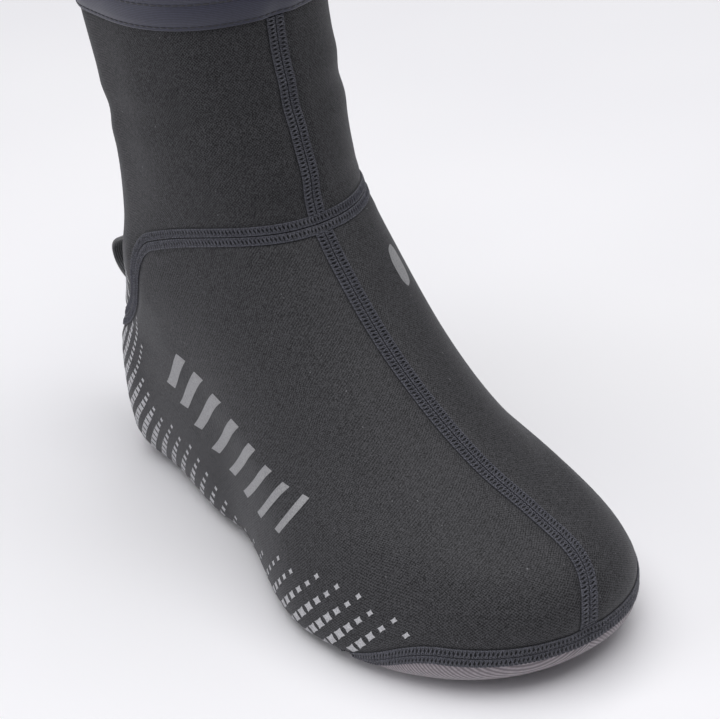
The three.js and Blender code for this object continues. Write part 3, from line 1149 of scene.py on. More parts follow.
@dataclass
class EdgeSeam(FlatlockSeam):
    """A narrow overlocked edge where the neoprene meets the sole cloth under the arch."""

    pitch: float = 1.5
    end_margin: float = 0.6
    # Half width of the stitches, their lean along the edge, and their lift at the ends and in the middle
    reach: float = 1.35
    lean: float = 0.9
    lift: float = 0.05
    arch: float = 0.2
    rows: tuple[float, ...] = (-1.5, -1.1, -0.5, 0.0, 0.5, 1.1, 1.5)
    heights: tuple[float, ...] = (0.1, 0.45, 0.65, 0.7, 0.65, 0.45, 0.1)

    def threads(self) -> Thing:
        """Slanted stitches over the edge.

        Returns:
            The new piece.
        """
        start = np.arange(self.end_margin, self.run - self.end_margin, self.pitch)[:, None]
        t = np.linspace(0, 1, 7)[None, :]
        offset = -self.reach + 2 * self.reach * t + np.zeros_like(start)
        place, up = self.at(start + self.lean * (t - 0.5), offset, self.lift + self.arch * np.sin(np.pi * t))
        return tubes(f"{self.name}_threads", place, up, self.cover_thread)


@dataclass
class Collar:
    """The elastic collar: folded over the shaft's top, with two rows of stitches."""

    skin: BootSkin
    wardrobe: Wardrobe
    gap: float = 0.3
    cloth: float = 1.2
    wall: float = 3.0
    height: float = 30.0
    lining: float = 12.0
    first_row: float = 1.6
    second_row: float = 11.0
    stitch_pitch: float = 3.0
    stitch_length: float = 2.3
    stitch_arch: float = 0.32
    thread: float = 0.3
    # The fold over the shaft's top: how flat it is, and how far it is pressed down
    fold_flatness: float = 0.55
    fold_press: float = 0.6
    # Where the cloth lies against the wall: millimetres below the top inside, and above the edge outside
    lining_drops: tuple[float, ...] = (3.0, 6.0, 9.0, 11.4)
    back_drops: tuple[float, ...] = (11.4, 6.0, 2.0)
    back_rises: tuple[float, ...] = (28.0, 20.0, 11.0, 4.0, 0.3)
    # Under the fold, the cloth leaves the wall this far down and this far from each side
    under_drop: float = 1.4
    under_inset: float = 0.4
    around: int = 240
    # How the outer leaf swells between its stitch rows: millimetres up from its edge, and outwards
    swell: tuple[tuple[float, float], ...] = (
        (0.0, 0.0), (0.3, 0.75), (0.9, 0.95), (1.6, 0.62), (2.4, 1.0), (4.5, 1.35), (7.5, 1.35), (10.0, 1.05),
        (11.0, 0.72), (12.0, 1.05), (15.0, 1.3), (20.0, 1.32), (25.0, 1.3), (28.0, 1.25),
    )

    def leaf(self, angles: Array) -> tuple[Array, Array]:
        """The collar's closed cross-section at each angle.

        Args:
            angles: angles round the boot.

        Returns:
            Points by section, and the outward direction of each.
        """
        top = np.full_like(angles, float(TOP))
        normal = self.skin.outward(angles, top)
        edge = self.skin.climb(angles, top, -self.height)
        points, away = [], []

        def put(level: Array, distance: float, lift: float = 0.0, facing: float = 1.0) -> None:
            """Add one corner of the cross-section.

            Args:
                level: its level at each angle.
                distance: millimetres outwards from the skin.
                lift: millimetres upwards.
                facing: 1 where the cloth faces out, and -1 where it faces in.
            """
            place = self.skin.surface(angles, level, distance)
            place = place + np.array([0.0, 0.0, lift])
            points.append(place)
            away.append(normal * facing)

        for rise, out in self.swell:
            put(self.skin.climb(angles, edge, rise), self.gap + out)
        inside = -self.wall - self.gap
        crown = self.cloth + self.gap
        for turn in np.linspace(0, np.pi, 9):
            middle = (self.gap + inside) / 2
            half = (self.gap - inside) / 2 + self.cloth
            lift = crown * self.fold_flatness * math.sin(turn) - self.fold_press
            put(top, middle + half * math.cos(turn), lift, math.cos(turn))
        for drop in self.lining_drops:
            put(self.skin.climb(angles, top, -drop), inside - self.cloth, 0.0, -1.0)
        put(self.skin.climb(angles, top, -self.lining), inside - self.cloth / 2, 0.0, -1.0)
        for drop in self.back_drops:
            put(self.skin.climb(angles, top, -drop), inside, 0.0, 1.0)
        under = self.skin.climb(angles, top, -self.under_drop)
        put(under, inside + self.under_inset)
        put(under, self.gap - self.under_inset)
        for rise in self.back_rises:
            put(self.skin.climb(angles, edge, rise), self.gap, 0.0, -1.0)
        points.append(points[0])
        away.append(away[0])
        return np.stack(points), np.stack(away)

    def stitches(self, rise: float, name: str) -> Thing:
        """One row of stitches round the collar.

        Args:
            rise: millimetres above the collar's lower edge.
            name: the piece's name.

        Returns:
            The new piece.
        """
        angles = np.linspace(-np.pi, np.pi, 1201)
        edge = self.skin.climb(angles, np.full_like(angles, float(TOP)), -self.height)
        level = self.skin.climb(angles, edge, rise)
        way = run_along(self.skin.smooth_point(angles, level))
        count = int(way[-1] / self.stitch_pitch)
        start = (np.arange(count) + 0.5) * way[-1] / count
        t = np.linspace(-0.5, 0.5, 6)[None, :]
        spots = start[:, None] + self.stitch_length * t
        a = np.interp(spots, way, angles)
        v = np.interp(spots, way, level)
        out = self.gap + np.interp(rise, *zip(*self.swell))
        arch = self.stitch_arch * np.cos(np.pi * t) ** 0.6
        place = self.skin.surface(a, v, out - 0.1 + arch + np.zeros_like(a))
        row = tubes(name, place, self.skin.outward(a, v), self.thread)
        finish_piece(row, self.wardrobe.get(Finish.HEM_THREAD), angle=70.0)
        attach(row, "root")
        return row

    def build(self) -> None:
        """Build the collar in the place of its solid."""
        points, away = self.leaf(packed_angles(-np.pi, np.pi, self.around))
        band = cloth("collar_fold", points, cloth_uv(points), away)
        finish_piece(band, self.wardrobe.get(Finish.COLLAR), angle=60.0)
        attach(band, "root")
        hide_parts("collar_band")
        self.stitches(self.first_row, "collar_lower_stitches")
        self.stitches(self.second_row, "collar_upper_stitches")
        log.info("collar: %d faces", len(band.data.polygons))


@dataclass
class SolePanel:
    """The sole cloth: wraps up at toe and heel, with hemmed openings for cleat and heel pad."""

    skin: BootSkin
    wardrobe: Wardrobe
    thickness: float = 2.0
    rim_gap: float = 0.45
    corner: float = 14.0
    # Length, width and place along the shoe of each opening
    openings: tuple[tuple[float, float, float], ...] = ((84.0, 58.0, 0.735), (44.0, 42.0, 0.17))
    # How far the middle line turns inwards at the toe, as a share of the ball's width
    toe_turn: float = 0.03
    # The cutting block's height in metres
    cutter_height: float = 0.05
    columns: int = 150
    rim_rows: int = 12
    floor_rows: int = 26
    hem_pitch: float = 1.9
    hem_thread: float = 0.24
    # Cross-section of the bound edge of an opening: millimetres into the opening, and up
    hem_edge: tuple[tuple[float, float], ...] = (
        (-2.6, 0.06), (-0.2, 0.0), (0.5, 0.5), (0.6, 1.2),
        (0.4, 2.1), (-0.4, 2.5), (-2.6, 2.35), (-2.6, 0.06),
    )
    # Way of a stitch over that edge
    hem_stitch: tuple[tuple[float, float], ...] = (
        (-3.2, 0.3), (-1.6, 0.18), (-0.1, 0.22), (0.75, 0.6),
        (0.9, 1.3), (0.5, 2.4), (-1.5, 2.8), (-3.0, 2.6),
    )

    def sheet(self) -> Thing:
        """The cloth before its openings are cut.

        Returns:
            The new piece, one layer thick.
        """
        angles = packed_angles(0, np.pi, self.columns)
        sides = []
        for side in (-1.0, 1.0):
            a = side * angles
            line = self.skin.climb(a, self.skin.sole_line(a), -self.rim_gap)
            levels = spread(np.zeros_like(line), line, self.rim_rows + 1)
            grid = np.broadcast_to(a, levels.shape)
            sides.append((self.skin.surface(grid, levels), self.skin.outward(grid, levels)))
        (outer, outer_out), (inner, inner_out) = sides
        floor = spread(np.zeros(1), np.ones(1), self.floor_rows + 1)[1:-1]
        middle = outer[0][None] * (1 - floor[..., None]) + inner[0][None] * floor[..., None]
        down = np.broadcast_to(np.array([0.0, 0.0, -1.0]), middle.shape)
        points = np.concatenate([outer[::-1], middle, inner])
        away = np.concatenate([outer_out[::-1], down, inner_out])
        across = run_along(points)
        across = across - across[len(across) // 2]
        along = np.broadcast_to(points[len(points) // 2, :, 0], across.shape)
        return cloth("sole_cloth_panel", points, np.stack([along, across], axis=-1), away)

    def centre(self, share: float) -> tuple[float, float]:
        """Middle of an opening.

        Args:
            share: place along the shoe.

        Returns:
            Its x and y in millimetres in the shared frame.
        """
        turn = self.toe_turn * self.skin.ball_width * float(ease(np.array(2 * share - 1)))
        return self.skin.length * share + self.skin.place[0], turn + self.skin.place[1]

    def cutter(self, length: float, width: float, share: float) -> Thing:
        """An upright block with round corners.

        Args:
            length: along the shoe.
            width: across the shoe.
            share: place along the shoe.

        Returns:
            The block.
        """
        x, y = self.centre(share)
        deselect()
        size = (length * MM, width * MM, self.cutter_height)
        bpy.ops.mesh.primitive_cube_add(size=1.0, location=(x * MM, y * MM, 0), scale=size)
        block = bpy.context.object
        bpy.ops.object.transform_apply(location=True, rotation=True, scale=True)
        bpy.ops.object.mode_set(mode="EDIT")
        bpy.ops.mesh.select_mode(type="EDGE")
        bpy.ops.mesh.select_all(action="DESELECT")
        bpy.ops.object.mode_set(mode="OBJECT")
        for edge in block.data.edges:
            ends = [block.data.vertices[v].co for v in edge.vertices]
            edge.select = abs(ends[0].z - ends[1].z) > 0.01
        bpy.ops.object.mode_set(mode="EDIT")
        bpy.ops.mesh.bevel(offset=self.corner * MM, segments=10, affect="EDGES")
        bpy.ops.object.mode_set(mode="OBJECT")
        return block

    def rounded(self, length: float, width: float, share: float, step: float) -> Array:
        """The outline of an opening.

        Args:
            length: along the shoe.
            width: across the shoe.
            share: place along the shoe.
            step: spacing of the points.

        Returns:
            A closed run of points on the underside, at even steps.
        """
        x, y = self.centre(share)
        a, b, r = length / 2 - self.corner, width / 2 - self.corner, self.corner
        corners = ((a, -b, -90), (a, b, 0), (-a, b, 90), (-a, -b, 180))
        turns = np.radians(np.linspace(0, 90, 30))
        rough = []
        for cx, cy, start in corners:
            turn = turns + math.radians(start)
            rough.append(np.stack([cx + r * np.cos(turn), cy + r * np.sin(turn)], axis=-1))
        rough = np.concatenate([*rough, rough[0][:1]])
        way = run_along(rough)
        even = np.linspace(0, way[-1], int(way[-1] / step) + 1)
        px, py = np.interp(even, way, rough[:, 0]) + x, np.interp(even, way, rough[:, 1]) + y
        return np.stack([px, py, self.skin.underside(px - self.skin.place[0])], axis=-1)

    def hem(self, name: str, outline: Array, middle: tuple[float, float]) -> None:
        """A bound edge with overlock stitches round an opening.

        Args:
            name: the piece's name.
            outline: the opening's edge.
            middle: the opening's middle.
        """
        inward = unit((np.array([*middle, 0.0]) - outline) * np.array([1, 1, 0]))
        tangent = unit(np.gradient(outline, axis=0))
        inward = unit(inward - tangent * (inward * tangent).sum(axis=1, keepdims=True))
        up = np.array([0.0, 0.0, 1.0])
        points = np.stack([outline + inward * d + up * h for d, h in self.hem_edge])
        away = np.stack([inward * (d + 1.0) + up * (h - 1.2) for d, h in self.hem_edge])
        band = cloth(name, points, cloth_uv(points), away)
        finish_piece(band, self.wardrobe.get(Finish.SEAM_BED))
        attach(band, "root")
        way = np.linspace(0, 1, len(outline))
        count = int(run_along(outline)[-1] / self.hem_pitch)
        start = (np.arange(count) + 0.5) / count
        reach = np.array(self.hem_stitch)
        slant = np.linspace(-0.0012, 0.0012, len(reach))[None, :]
        spot = np.clip(start[:, None] + slant, 0, 1)
        base = np.stack([np.interp(spot, way, outline[:, k]) for k in range(3)], axis=-1)
        towards = np.stack([np.interp(spot, way, inward[:, k]) for k in range(3)], axis=-1)
        paths = base + towards * reach[None, :, :1] + up * reach[None, :, 1:]
        normals = towards * 0.3 + up * np.sign(reach[None, :, 1:] - 1.3)
        threads = tubes(f"{name}_threads", paths, normals, self.hem_thread)
        finish_piece(threads, self.wardrobe.get(Finish.HEM_THREAD), angle=70.0)
        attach(threads, "root")

    def build(self) -> None:
        """Build the sole panel in the place of its solid, and hem its openings."""
        panel = self.sheet()
        apply_modifier(panel, "SOLIDIFY", thickness=self.thickness * MM, offset=-1.0)
        for index, (length, width, share) in enumerate(self.openings):
            block = self.cutter(length, width, share)
            apply_modifier(panel, "BOOLEAN", operation="DIFFERENCE", object=block, solver="EXACT")
            bpy.data.objects.remove(block, do_unlink=True)
            self.hem(f"opening_hem_{index + 1}", self.rounded(length, width, share, 1.0), self.centre(share))
        finish_piece(panel, self.wardrobe.get(Finish.SOLE))
        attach(panel, "root")
        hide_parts("sole_panel")
        log.info("sole panel: %d faces", len(panel.data.polygons))


@dataclass
class PullLoop:
    """The webbing loop behind the heel."""

    skin: BootSkin
    wardrobe: Wardrobe
    width: float = 28.0
    cloth: float = 1.6
    reach: float = 38.0
    drop: float = 32.0
    bottom: float = 66.0
    tip_rise: float = 15.0
    belly: float = 2.5
    sag: float = 6.0
    # How far the ends reach back, how far the middle bulges, and how thick the pressed cloth is
    end_reach: float = 0.6
    bulge: float = 0.35
    pressed: float = 0.85
    edge_round: float = 0.3

    def heel_x(self, height: float) -> float:
        """Where the heel's back lies at a height.

        Args:
            height: millimetres above the floor.

        Returns:
            Its x in millimetres in the shared frame.
        """
        levels = np.linspace(0, TOP, 1400)
        back = self.skin.smooth_point(np.zeros_like(levels), levels)
        return float(np.interp(height, back[:, 2], back[:, 0]))

    def path(self) -> Array:
        """The middle line of the loop, from its lower end over the tip to its upper end.

        Returns:
            Points in the plane of the heel, as x and z.
        """
        top = self.bottom + self.drop
        half = self.cloth / 2
        low = np.array([self.heel_x(self.bottom) - self.end_reach, self.bottom + half])
        high = np.array([self.heel_x(top) - self.end_reach, top - half])
        tip = np.array([high[0] - self.reach + half, self.bottom + self.tip_rise])
        under = np.array([tip[0], low[1] + self.belly])
        over = np.array([tip[0], high[1] - self.sag])
        t = np.linspace(0, 1, 30)[:, None]
        rise = low * (1 - t) ** 2 + under * 2 * t * (1 - t) + tip * t**2
        fall = tip * (1 - t) ** 2 + over * 2 * t * (1 - t) + high * t**2
        return np.concatenate([rise, fall[1:]])

    def build(self) -> None:
        """Build the loop in the place of its solid."""
        path = self.path()
        across = np.linspace(-0.5, 0.5, 13)
        crown = self.bulge * (1 - (2 * across) ** 2)
        tangent = unit(np.gradient(path, axis=0))
        out = np.stack([-tangent[:, 1], tangent[:, 0]], axis=-1)
        spine = path[None] + out[None] * crown[:, None, None]
        y = np.broadcast_to((across * self.width + self.skin.place[1])[:, None], spine.shape[:2])
        points = np.stack([spine[..., 0], y, spine[..., 1]], axis=-1)
        away = np.broadcast_to(np.insert(out, 1, 0.0, axis=1), points.shape)
        loop = cloth("heel_loop_webbing", points, cloth_uv(points), away, close=False)
        apply_modifier(loop, "SOLIDIFY", thickness=self.cloth * MM * self.pressed, offset=0.0)
        limit = {"limit_method": "ANGLE", "angle_limit": math.radians(60)}
        apply_modifier(loop, "BEVEL", width=self.edge_round * MM, segments=2, **limit)
        finish_piece(loop, self.wardrobe.get(Finish.WEBBING))
        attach(loop, "root")
        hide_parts("pull_loop")
        log.info("pull loop: %d faces", len(loop.data.polygons))


@dataclass
class Print:
    """The reflective print: fading columns of four-pointed stars and a row of plain bars."""

    skin: BootSkin
    wardrobe: Wardrobe
    lift: float = 0.12
    # The columns of stars: spacing round the boot, lean and star spacing, in millimetres
    last_column: float = 276.0
    column_pitch: float = 10.9
    heel_scale: float = 0.66
    star_shift: float = 4.5
    star_rise: float = 5.0
    base_rise: float = 15.0
    # A star: its radius at corner, flank, waist and flank, four times round, then its length and breadth
    star_radii: tuple[float, ...] = (0.74, 0.84, 1.24, 0.84)
    star_length: float = 1.25
    star_breadth: float = 0.95
    # Half size of a star at the print's edge, what it gains inside, and over how many millimetres
    edge_size: float = 1.15
    inner_gain: float = 1.2
    fade: float = 24.0
    # Levels that stars keep clear of the seams, and of the bare edge under the arch
    seam_clear: float = 0.55
    edge_clear: float = 0.12
    # Upper edge of the print: millimetres round the boot from the heel back, and up from the sole
    upper_edge: tuple[tuple[float, float], ...] = (
        (66, 54), (78, 39), (90, 37), (108, 34), (127, 21), (134, 16), (141, 12), (152, 12), (174, 18),
        (195, 27), (212, 32), (230, 36.5), (249, 35), (267, 31), (283, 27), (290, 0),
    )
    # Front edge of the print over the heel: millimetres up, and round from the heel back
    front_edge: tuple[tuple[float, float], ...] = (
        (38, 78), (48, 73), (58, 69), (71, 77), (88, 89), (108, 110), (118, 112), (126, 70), (132, 0),
    )
    # Lines under and over the row of bars: millimetres round the boot, and up from the sole
    bar_feet: tuple[tuple[float, float], ...] = ((93, 59), (106, 44), (130, 30), (159, 27), (202, 37))
    bar_heads: tuple[tuple[float, float], ...] = ((143, 94), (174, 92), (197, 84), (218, 76), (238, 75))
    bar_count: int = 8
    bar_width: float = 9.0
    bar_taper: float = 5.0
    # Each bar runs between these shares of the way from its foot to its head
    bar_trim: tuple[float, float] = (0.14, 0.82)
    # Half sizes of the oval tab, up the instep and across, and its angle in degrees and level
    tab_size: tuple[float, float] = (9.0, 5.5)
    tab_place: tuple[float, float] = (147, 9.22)
    lines: int = 720
    tallest: float = 200.0
    levels: Array = field(init=False)

    def __post_init__(self) -> None:
        """Measure up the skin from level 1, on lines at even angles."""
        angle = np.linspace(-np.pi, np.pi, self.lines + 1)
        step = np.linspace(1, TOP, 1000)
        rise = run_along(self.skin.smooth_point(angle[:, None], step[None, :]), axis=1)
        even = np.linspace(0, self.tallest, 801)
        self.levels = np.stack([np.interp(even, row, step) for row in rise])

    def level_at(self, angle: Array, rise: Array) -> Array:
        """Levels at heights measured over the skin.

        Args:
            angle: angles round the boot.
            rise: millimetres up from level 1.

        Returns:
            The levels.
        """
        turn = (angle + np.pi) / (2 * np.pi) * self.lines
        i = np.clip(np.floor(turn).astype(int), 0, self.lines - 1)
        s = turn - i
        climb = np.clip(rise / self.tallest, 0, 1) * (self.levels.shape[1] - 1)
        j = np.clip(np.floor(climb).astype(int), 0, self.levels.shape[1] - 2)
        t = climb - j
        low = self.levels[i, j] * (1 - t) + self.levels[i, j + 1] * t
        high = self.levels[i + 1, j] * (1 - t) + self.levels[i + 1, j + 1] * t
        return low * (1 - s) + high * s

    def angle_at(self, way: Array) -> Array:
        """Angles on the outer side.

        Args:
            way: millimetres round the boot from the heel back.

        Returns:
            The angle at each distance.
        """
        angles = np.linspace(0, -np.pi, 2001)
        run = run_along(self.skin.smooth_point(angles, np.full_like(angles, 1.5)))
        return np.interp(way, run, angles)

    def place(self, way: Array, rise: Array, side: float, distance: float) -> tuple[Array, Array, Array]:
        """Points of the print.

        Args:
            way: millimetres round the boot from the heel back.
            rise: millimetres up from the sole.
            side: 1 on the outer side, -1 on the inner side.
            distance: millimetres above the skin.

        Returns:
            Points, angles and levels.
        """
        angle = side * self.angle_at(way)
        level = self.level_at(angle, rise)
        return self.skin.surface(angle, level, distance), angle, level

    def chart(self) -> tuple[Array, Array, Array]:
        """Where the stars go.

        Returns:
            Distances round the boot, rises, and half sizes.
        """
        ways, rises, sizes = [], [], []
        base = self.last_column
        while base > -90:
            scale = self.heel_scale + (1 - self.heel_scale) * float(ease(np.array(base / 120)))
            for star in range(-4, 34):
                way = base + self.star_shift * scale * star
                rise = self.base_rise + self.star_rise * scale * star
                limit = float(np.interp(way, *zip(*self.upper_edge)))
                front = float(np.interp(rise, *zip(*self.front_edge), left=0.0, right=0.0))
                below, behind = limit - rise, front - way
                if way < 1.5 or rise < 1.0 or (below < -1.0 and behind < -1.0):
                    continue
                ways.append(way)
                rises.append(rise)
                gain = float(ease(np.array(max(below, behind) / self.fade)))
                sizes.append(scale**0.5 * (self.edge_size + self.inner_gain * gain))
            base -= self.column_pitch * scale
        return np.array(ways), np.array(rises), np.array(sizes)

    def stars(self, side: float, name: str) -> None:
        """The stars of one side.

        Args:
            side: 1 on the outer side, -1 on the inner side.
            name: the piece's name.
        """
        way, rise, size = self.chart()
        turns = np.radians(np.arange(16) * 22.5)
        pinch = np.array(self.star_radii * 4)
        lean = math.atan2(self.star_rise, self.star_shift)
        along = np.cos(turns) * pinch * self.star_length
        over = np.sin(turns) * pinch * self.star_breadth
        local_way = np.concatenate([[0], along * math.cos(lean) - over * math.sin(lean)])
        local_rise = np.concatenate([[0], along * math.sin(lean) + over * math.cos(lean)])
        w = way[:, None] + size[:, None] * local_way
        r = np.maximum(rise[:, None] + size[:, None] * local_rise, 0.2)
        points, angle, level = self.place(w, r, side, self.lift)
        ankle, sole = self.skin.ankle_line(angle[:, 0]), self.skin.sole_line(angle[:, 0])
        clear = np.abs(level[:, 0] - ankle) > self.seam_clear
        clear &= level[:, 0] > sole + np.where(sole > 0.9, self.seam_clear, self.edge_clear)
        points = points[clear]
        count = len(points)
        start = (np.arange(count) * 17)[:, None]
        here = 1 + np.arange(16)
        there = 1 + (np.arange(16) + 1) % 16
        faces = np.stack(np.broadcast_arrays(start, start + here, start + there), axis=-1).reshape(-1, 3)
        if side > 0:
            faces = faces[:, ::-1]
        self.decal(name, points.reshape(-1, 3), faces, Finish.INK)
        log.info("%s: %d stars", name, count)

    def decal(self, name: str, points: Array, faces: Array, finish: Finish) -> None:
        """A printed patch on the skin.

        Args:
            name: the piece's name.
            points: its points in millimetres.
            faces: its faces, facing outwards.
            finish: its ink.
        """
        mesh = bpy.data.meshes.new(name)
        mesh.from_pydata((points * MM).tolist(), [], faces.tolist())
        mesh.update()
        obj = bpy.data.objects.new(name, mesh)
        bpy.context.collection.objects.link(obj)
        finish_piece(obj, self.wardrobe.get(finish))
        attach(obj, "root")

    def bars(self) -> None:
        """A row of plain slanted bars that thin out towards the toe."""
        low, high = np.array(self.bar_feet, float), np.array(self.bar_heads, float)
        knots = np.linspace(0, 1, len(low))
        last = self.bar_count - 1
        for index in range(self.bar_count):
            share = 0.04 + 0.92 * index / last
            width = self.bar_width - self.bar_taper * index / last
            foot = np.array([np.interp(share, knots, low[:, k]) for k in (0, 1)])
            head = np.array([np.interp(share, knots, high[:, k]) for k in (0, 1)])
            foot, head = (foot * (1 - trim) + head * trim for trim in self.bar_trim)
            t = np.linspace(0, 1, 25)[:, None, None]
            s = np.linspace(-0.5, 0.5, 5)[None, :, None]
            grid = foot * (1 - t) + head * t + np.array([width, 0.0]) * s
            points, angle, level = self.place(grid[..., 0], grid[..., 1], 1.0, self.lift)
            outward = self.skin.outward(angle, level)
            bar = cloth(f"reflective_bar_{index + 1}", points, cloth_uv(points), outward, close=False)
            finish_piece(bar, self.wardrobe.get(Finish.MARK))
            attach(bar, "root")

    def tab(self) -> None:
        """A small plain reflective tab on the inner side of the instep."""
        s = np.linspace(-1, 1, 13)
        radius = np.minimum(1.0, (1.0 - np.abs(s) ** 4 * 0.25))
        t, u = np.meshgrid(s, s, indexing="ij")
        along = t * self.tab_size[0] * radius[None, :]
        over = u * self.tab_size[1] * radius[:, None]
        angle = math.radians(self.tab_place[0]) + np.zeros_like(t)
        level = self.skin.climb(angle, np.full_like(t, self.tab_place[1]), along)
        angle = self.skin.walk(angle, level, over)
        points = self.skin.surface(angle, level, self.lift)
        tab = cloth("reflective_tab", points, cloth_uv(points), self.skin.outward(angle, level), close=False)
        finish_piece(tab, self.wardrobe.get(Finish.MARK))
        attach(tab, "root")

    def build(self) -> None:
        """Print both sides."""
        self.stars(1.0, "printed_stars_outer")
        self.stars(-1.0, "printed_stars_inner")
        self.bars()
        self.tab()


@dataclass
class Overshoe:
    """The whole overshoe."""

    skin: BootSkin
    wardrobe: Wardrobe
    # Radians round the boot that the toe, heel and edge seams cover
    toe_half: float = 1.0
    heel_half: float = 0.45
    edge_ends: tuple[float, float] = (0.52, 1.05)
    # Millimetres between the front seams and the seams that they meet
    toe_gap: float = 4.6
    ankle_gap: float = 4.0
    collar_height: float = 30.0

    def seams(self) -> list[FlatlockSeam]:
        """The five flatlock seams and the two overlocked edges.

        Returns:
            The seams, each laid out but not yet built.
        """
        skin = self.skin
        round_angles = np.linspace(-np.pi, np.pi, 1201)
        toe = np.linspace(np.pi - self.toe_half, np.pi + self.toe_half, 401)
        heel = np.linspace(-self.heel_half, self.heel_half, 201)
        outer = -np.linspace(self.edge_ends[0], np.pi - self.edge_ends[1], 401)
        front = math.pi + np.zeros(1)
        foot_low = skin.climb(front, skin.sole_line(front), self.toe_gap)[0]
        foot_high = skin.climb(front, skin.ankle_line(front), -self.ankle_gap)[0]
        foot = np.linspace(foot_low, foot_high, 401)
        shaft_low = skin.climb(front, skin.ankle_line(front), self.ankle_gap)[0]
        shaft_high = skin.climb(front, np.full(1, float(TOP)), -self.collar_height)[0]
        shaft = np.linspace(shaft_low, shaft_high, 201)
        foot_angle = math.pi + np.radians(skin.value("seam", foot))
        shaft_angle = math.pi + np.radians(skin.value("seam", shaft))
        # Name, node, angles, levels, and which way the seam's width runs
        rows = (
            ("ankle_seam", "ankle_seam", round_angles, skin.ankle_line(round_angles), Across.LEVELS),
            ("toe_seam", "toe_seam", toe, skin.sole_line(toe), Across.LEVELS),
            ("heel_seam", "heel_seam", heel, skin.sole_line(heel), Across.LEVELS),
            ("front_seam_foot", "front_seam_foot", foot_angle, foot, Across.ANGLES),
            ("outer_edge_seam", "", outer, skin.sole_line(outer), Across.LEVELS),
            ("inner_edge_seam", "", -outer, skin.sole_line(outer), Across.LEVELS),
            ("front_seam_shaft", "front_seam_shaft", shaft_angle, shaft, Across.ANGLES),
        )
        seams = []
        for name, node, angles, levels, across in rows:
            kind = FlatlockSeam if node else EdgeSeam
            closed = name == "ankle_seam"
            seams.append(kind(name, node, skin, self.wardrobe, angles, levels, across, closed=closed))
        return seams

    def bed_lines(self) -> tuple[Array, ...]:
        """The lines that the seams follow, for the grooves that they lie in.

        Returns:
            Each line's points in millimetres.
        """
        lines = []
        for seam in self.seams():
            pick = np.linspace(0, len(seam.angles) - 1, 121 if seam.closed else 41).astype(int)
            lines.append(self.skin.smooth_point(seam.angles[pick], seam.levels[pick]))
        return tuple(lines)

    def build(self) -> None:
        """Build every piece."""
        self.skin = replace(self.skin, grooves=self.bed_lines())
        Walls(self.skin, self.wardrobe).build()
        for seam in self.seams():
            seam.build()
        Collar(self.skin, self.wardrobe).build()
        SolePanel(self.skin, self.wardrobe).build()
        PullLoop(self.skin, self.wardrobe).build()
        Print(self.skin, self.wardrobe).build()


# Light, floor and camera


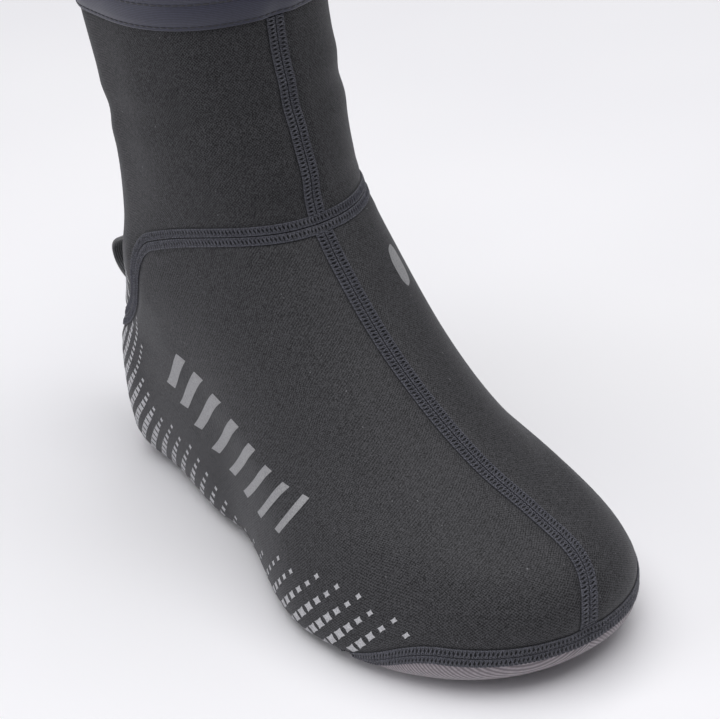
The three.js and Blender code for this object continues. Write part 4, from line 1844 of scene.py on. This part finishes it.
@dataclass(frozen=True)
class Studio:
    """Pale floor, soft light, and a camera that looks down at the outer side and the toe.

    Angles are in degrees, the camera's distance and target in millimetres, its focal length in pixels.
    """

    floor_colours: tuple[int, int] = (0xF6F6F9, 0xFAFAFC)
    floor_size: float = 1.9
    azimuth: float = 57.12
    elevation: float = 28.77
    roll: float = -5.9
    distance: float = 931.96
    focal: float = 2181.36
    target: tuple[float, float, float] = (0.231, 17.402, 74.09)
    frame_width: int = 720
    sensor: float = 36.0
    ambient: float = 0.15

    def floor(self) -> None:
        """A wide flat pale floor."""
        deselect()
        # A hair below the sole cloth, so that the two don't share a plane
        middle = (-0.48, 0.32, -0.0001)
        rows = {"x_subdivisions": 8, "y_subdivisions": 8}
        bpy.ops.mesh.primitive_grid_add(**rows, size=self.floor_size, location=middle)
        floor = bpy.context.object
        floor.name = "studio_floor"
        material, tree, shader = blank_material("pale studio paper")
        place = add_node(tree, "ShaderNodeTexCoord").outputs["Object"]
        # Clouds of about a third of a metre
        cloud = noise(tree, place, 3.0)
        base = colour_ramp(tree, cloud, (0.3, self.floor_colours[0]), (0.7, self.floor_colours[1]))
        tree.links.new(base, shader.inputs["Base Color"])
        shader.inputs["Roughness"].default_value = 0.9
        shader.inputs["Specular IOR Level"].default_value = 0.1
        floor.data.materials.append(material)

    @staticmethod
    def light(name: str, place: tuple[float, float, float], size: float, power: float, colour: int) -> None:
        """A soft square light that points at the shoe.

        Args:
            name: the light's name.
            place: where it hangs, in metres.
            size: its side in metres.
            power: its power in watts.
            colour: its sRGB hex colour.
        """
        lamp = bpy.data.lights.new(name, "AREA")
        lamp.shape = "SQUARE"
        lamp.size = size
        lamp.energy = power
        lamp.color = linear(colour)[:3]
        obj = bpy.data.objects.new(name, lamp)
        bpy.context.collection.objects.link(obj)
        obj.location = place
        obj.rotation_euler = (Vector((0, 0, 0.1)) - Vector(place)).to_track_quat("-Z", "Y").to_euler()

    def lights(self) -> None:
        """Even light from all round, with large soft boxes above."""
        world = bpy.data.worlds.new("studio world")
        bpy.context.scene.world = world
        world.use_nodes = True
        background = next(node for node in world.node_tree.nodes if node.type == "BACKGROUND")
        background.inputs["Color"].default_value = linear(0xF7F8FC)
        background.inputs["Strength"].default_value = self.ambient
        self.light("soft_top", (0.15, 0.0, 2.4), 3.0, 66.0, 0xFFFEFF)
        self.light("soft_left", (-0.45, -1.5, 0.7), 1.1, 7.0, 0xFDFCFF)
        self.light("soft_right", (0.9, 1.35, 0.8), 1.1, 1.8, 0xFFFFFF)

    def camera(self) -> None:
        """The camera at the photo's angle."""
        a, e, r = (math.radians(v) for v in (self.azimuth, self.elevation, self.roll))
        back = Vector((math.sin(a) * math.cos(e), -math.cos(a) * math.cos(e), math.sin(e)))
        level_right = Vector((math.cos(a), math.sin(a), 0.0))
        level_up = back.cross(level_right)
        right = level_right * math.cos(r) + level_up * math.sin(r)
        up = level_up * math.cos(r) - level_right * math.sin(r)
        data = bpy.data.cameras.new("photo_camera")
        data.sensor_fit = "HORIZONTAL"
        data.sensor_width = self.sensor
        data.lens = self.focal * self.sensor / self.frame_width
        data.clip_start = 0.05
        data.clip_end = 50.0
        camera = bpy.data.objects.new("photo_camera", data)
        bpy.context.collection.objects.link(camera)
        place = (Vector(self.target) + back * self.distance) * MM
        turn = Matrix((right, up, back)).transposed().to_4x4()
        camera.matrix_world = Matrix.Translation(place) @ turn
        bpy.context.scene.camera = camera

    def build(self) -> None:
        """Set up floor, lights and camera."""
        self.floor()
        self.lights()
        self.camera()
        bpy.context.scene.view_settings.view_transform = "Standard"
        log.info("studio: ready")


FOLDS = (
    Fold((-180.0, 12.2), (180.0, 12.2), 5.5, 0.8, tapered=False),
)


def main() -> None:
    """Build the overshoe and the studio."""
    Studio().build()
    Overshoe(BootSkin(folds=FOLDS), Wardrobe()).build()


if __name__ == "__main__":
    main()
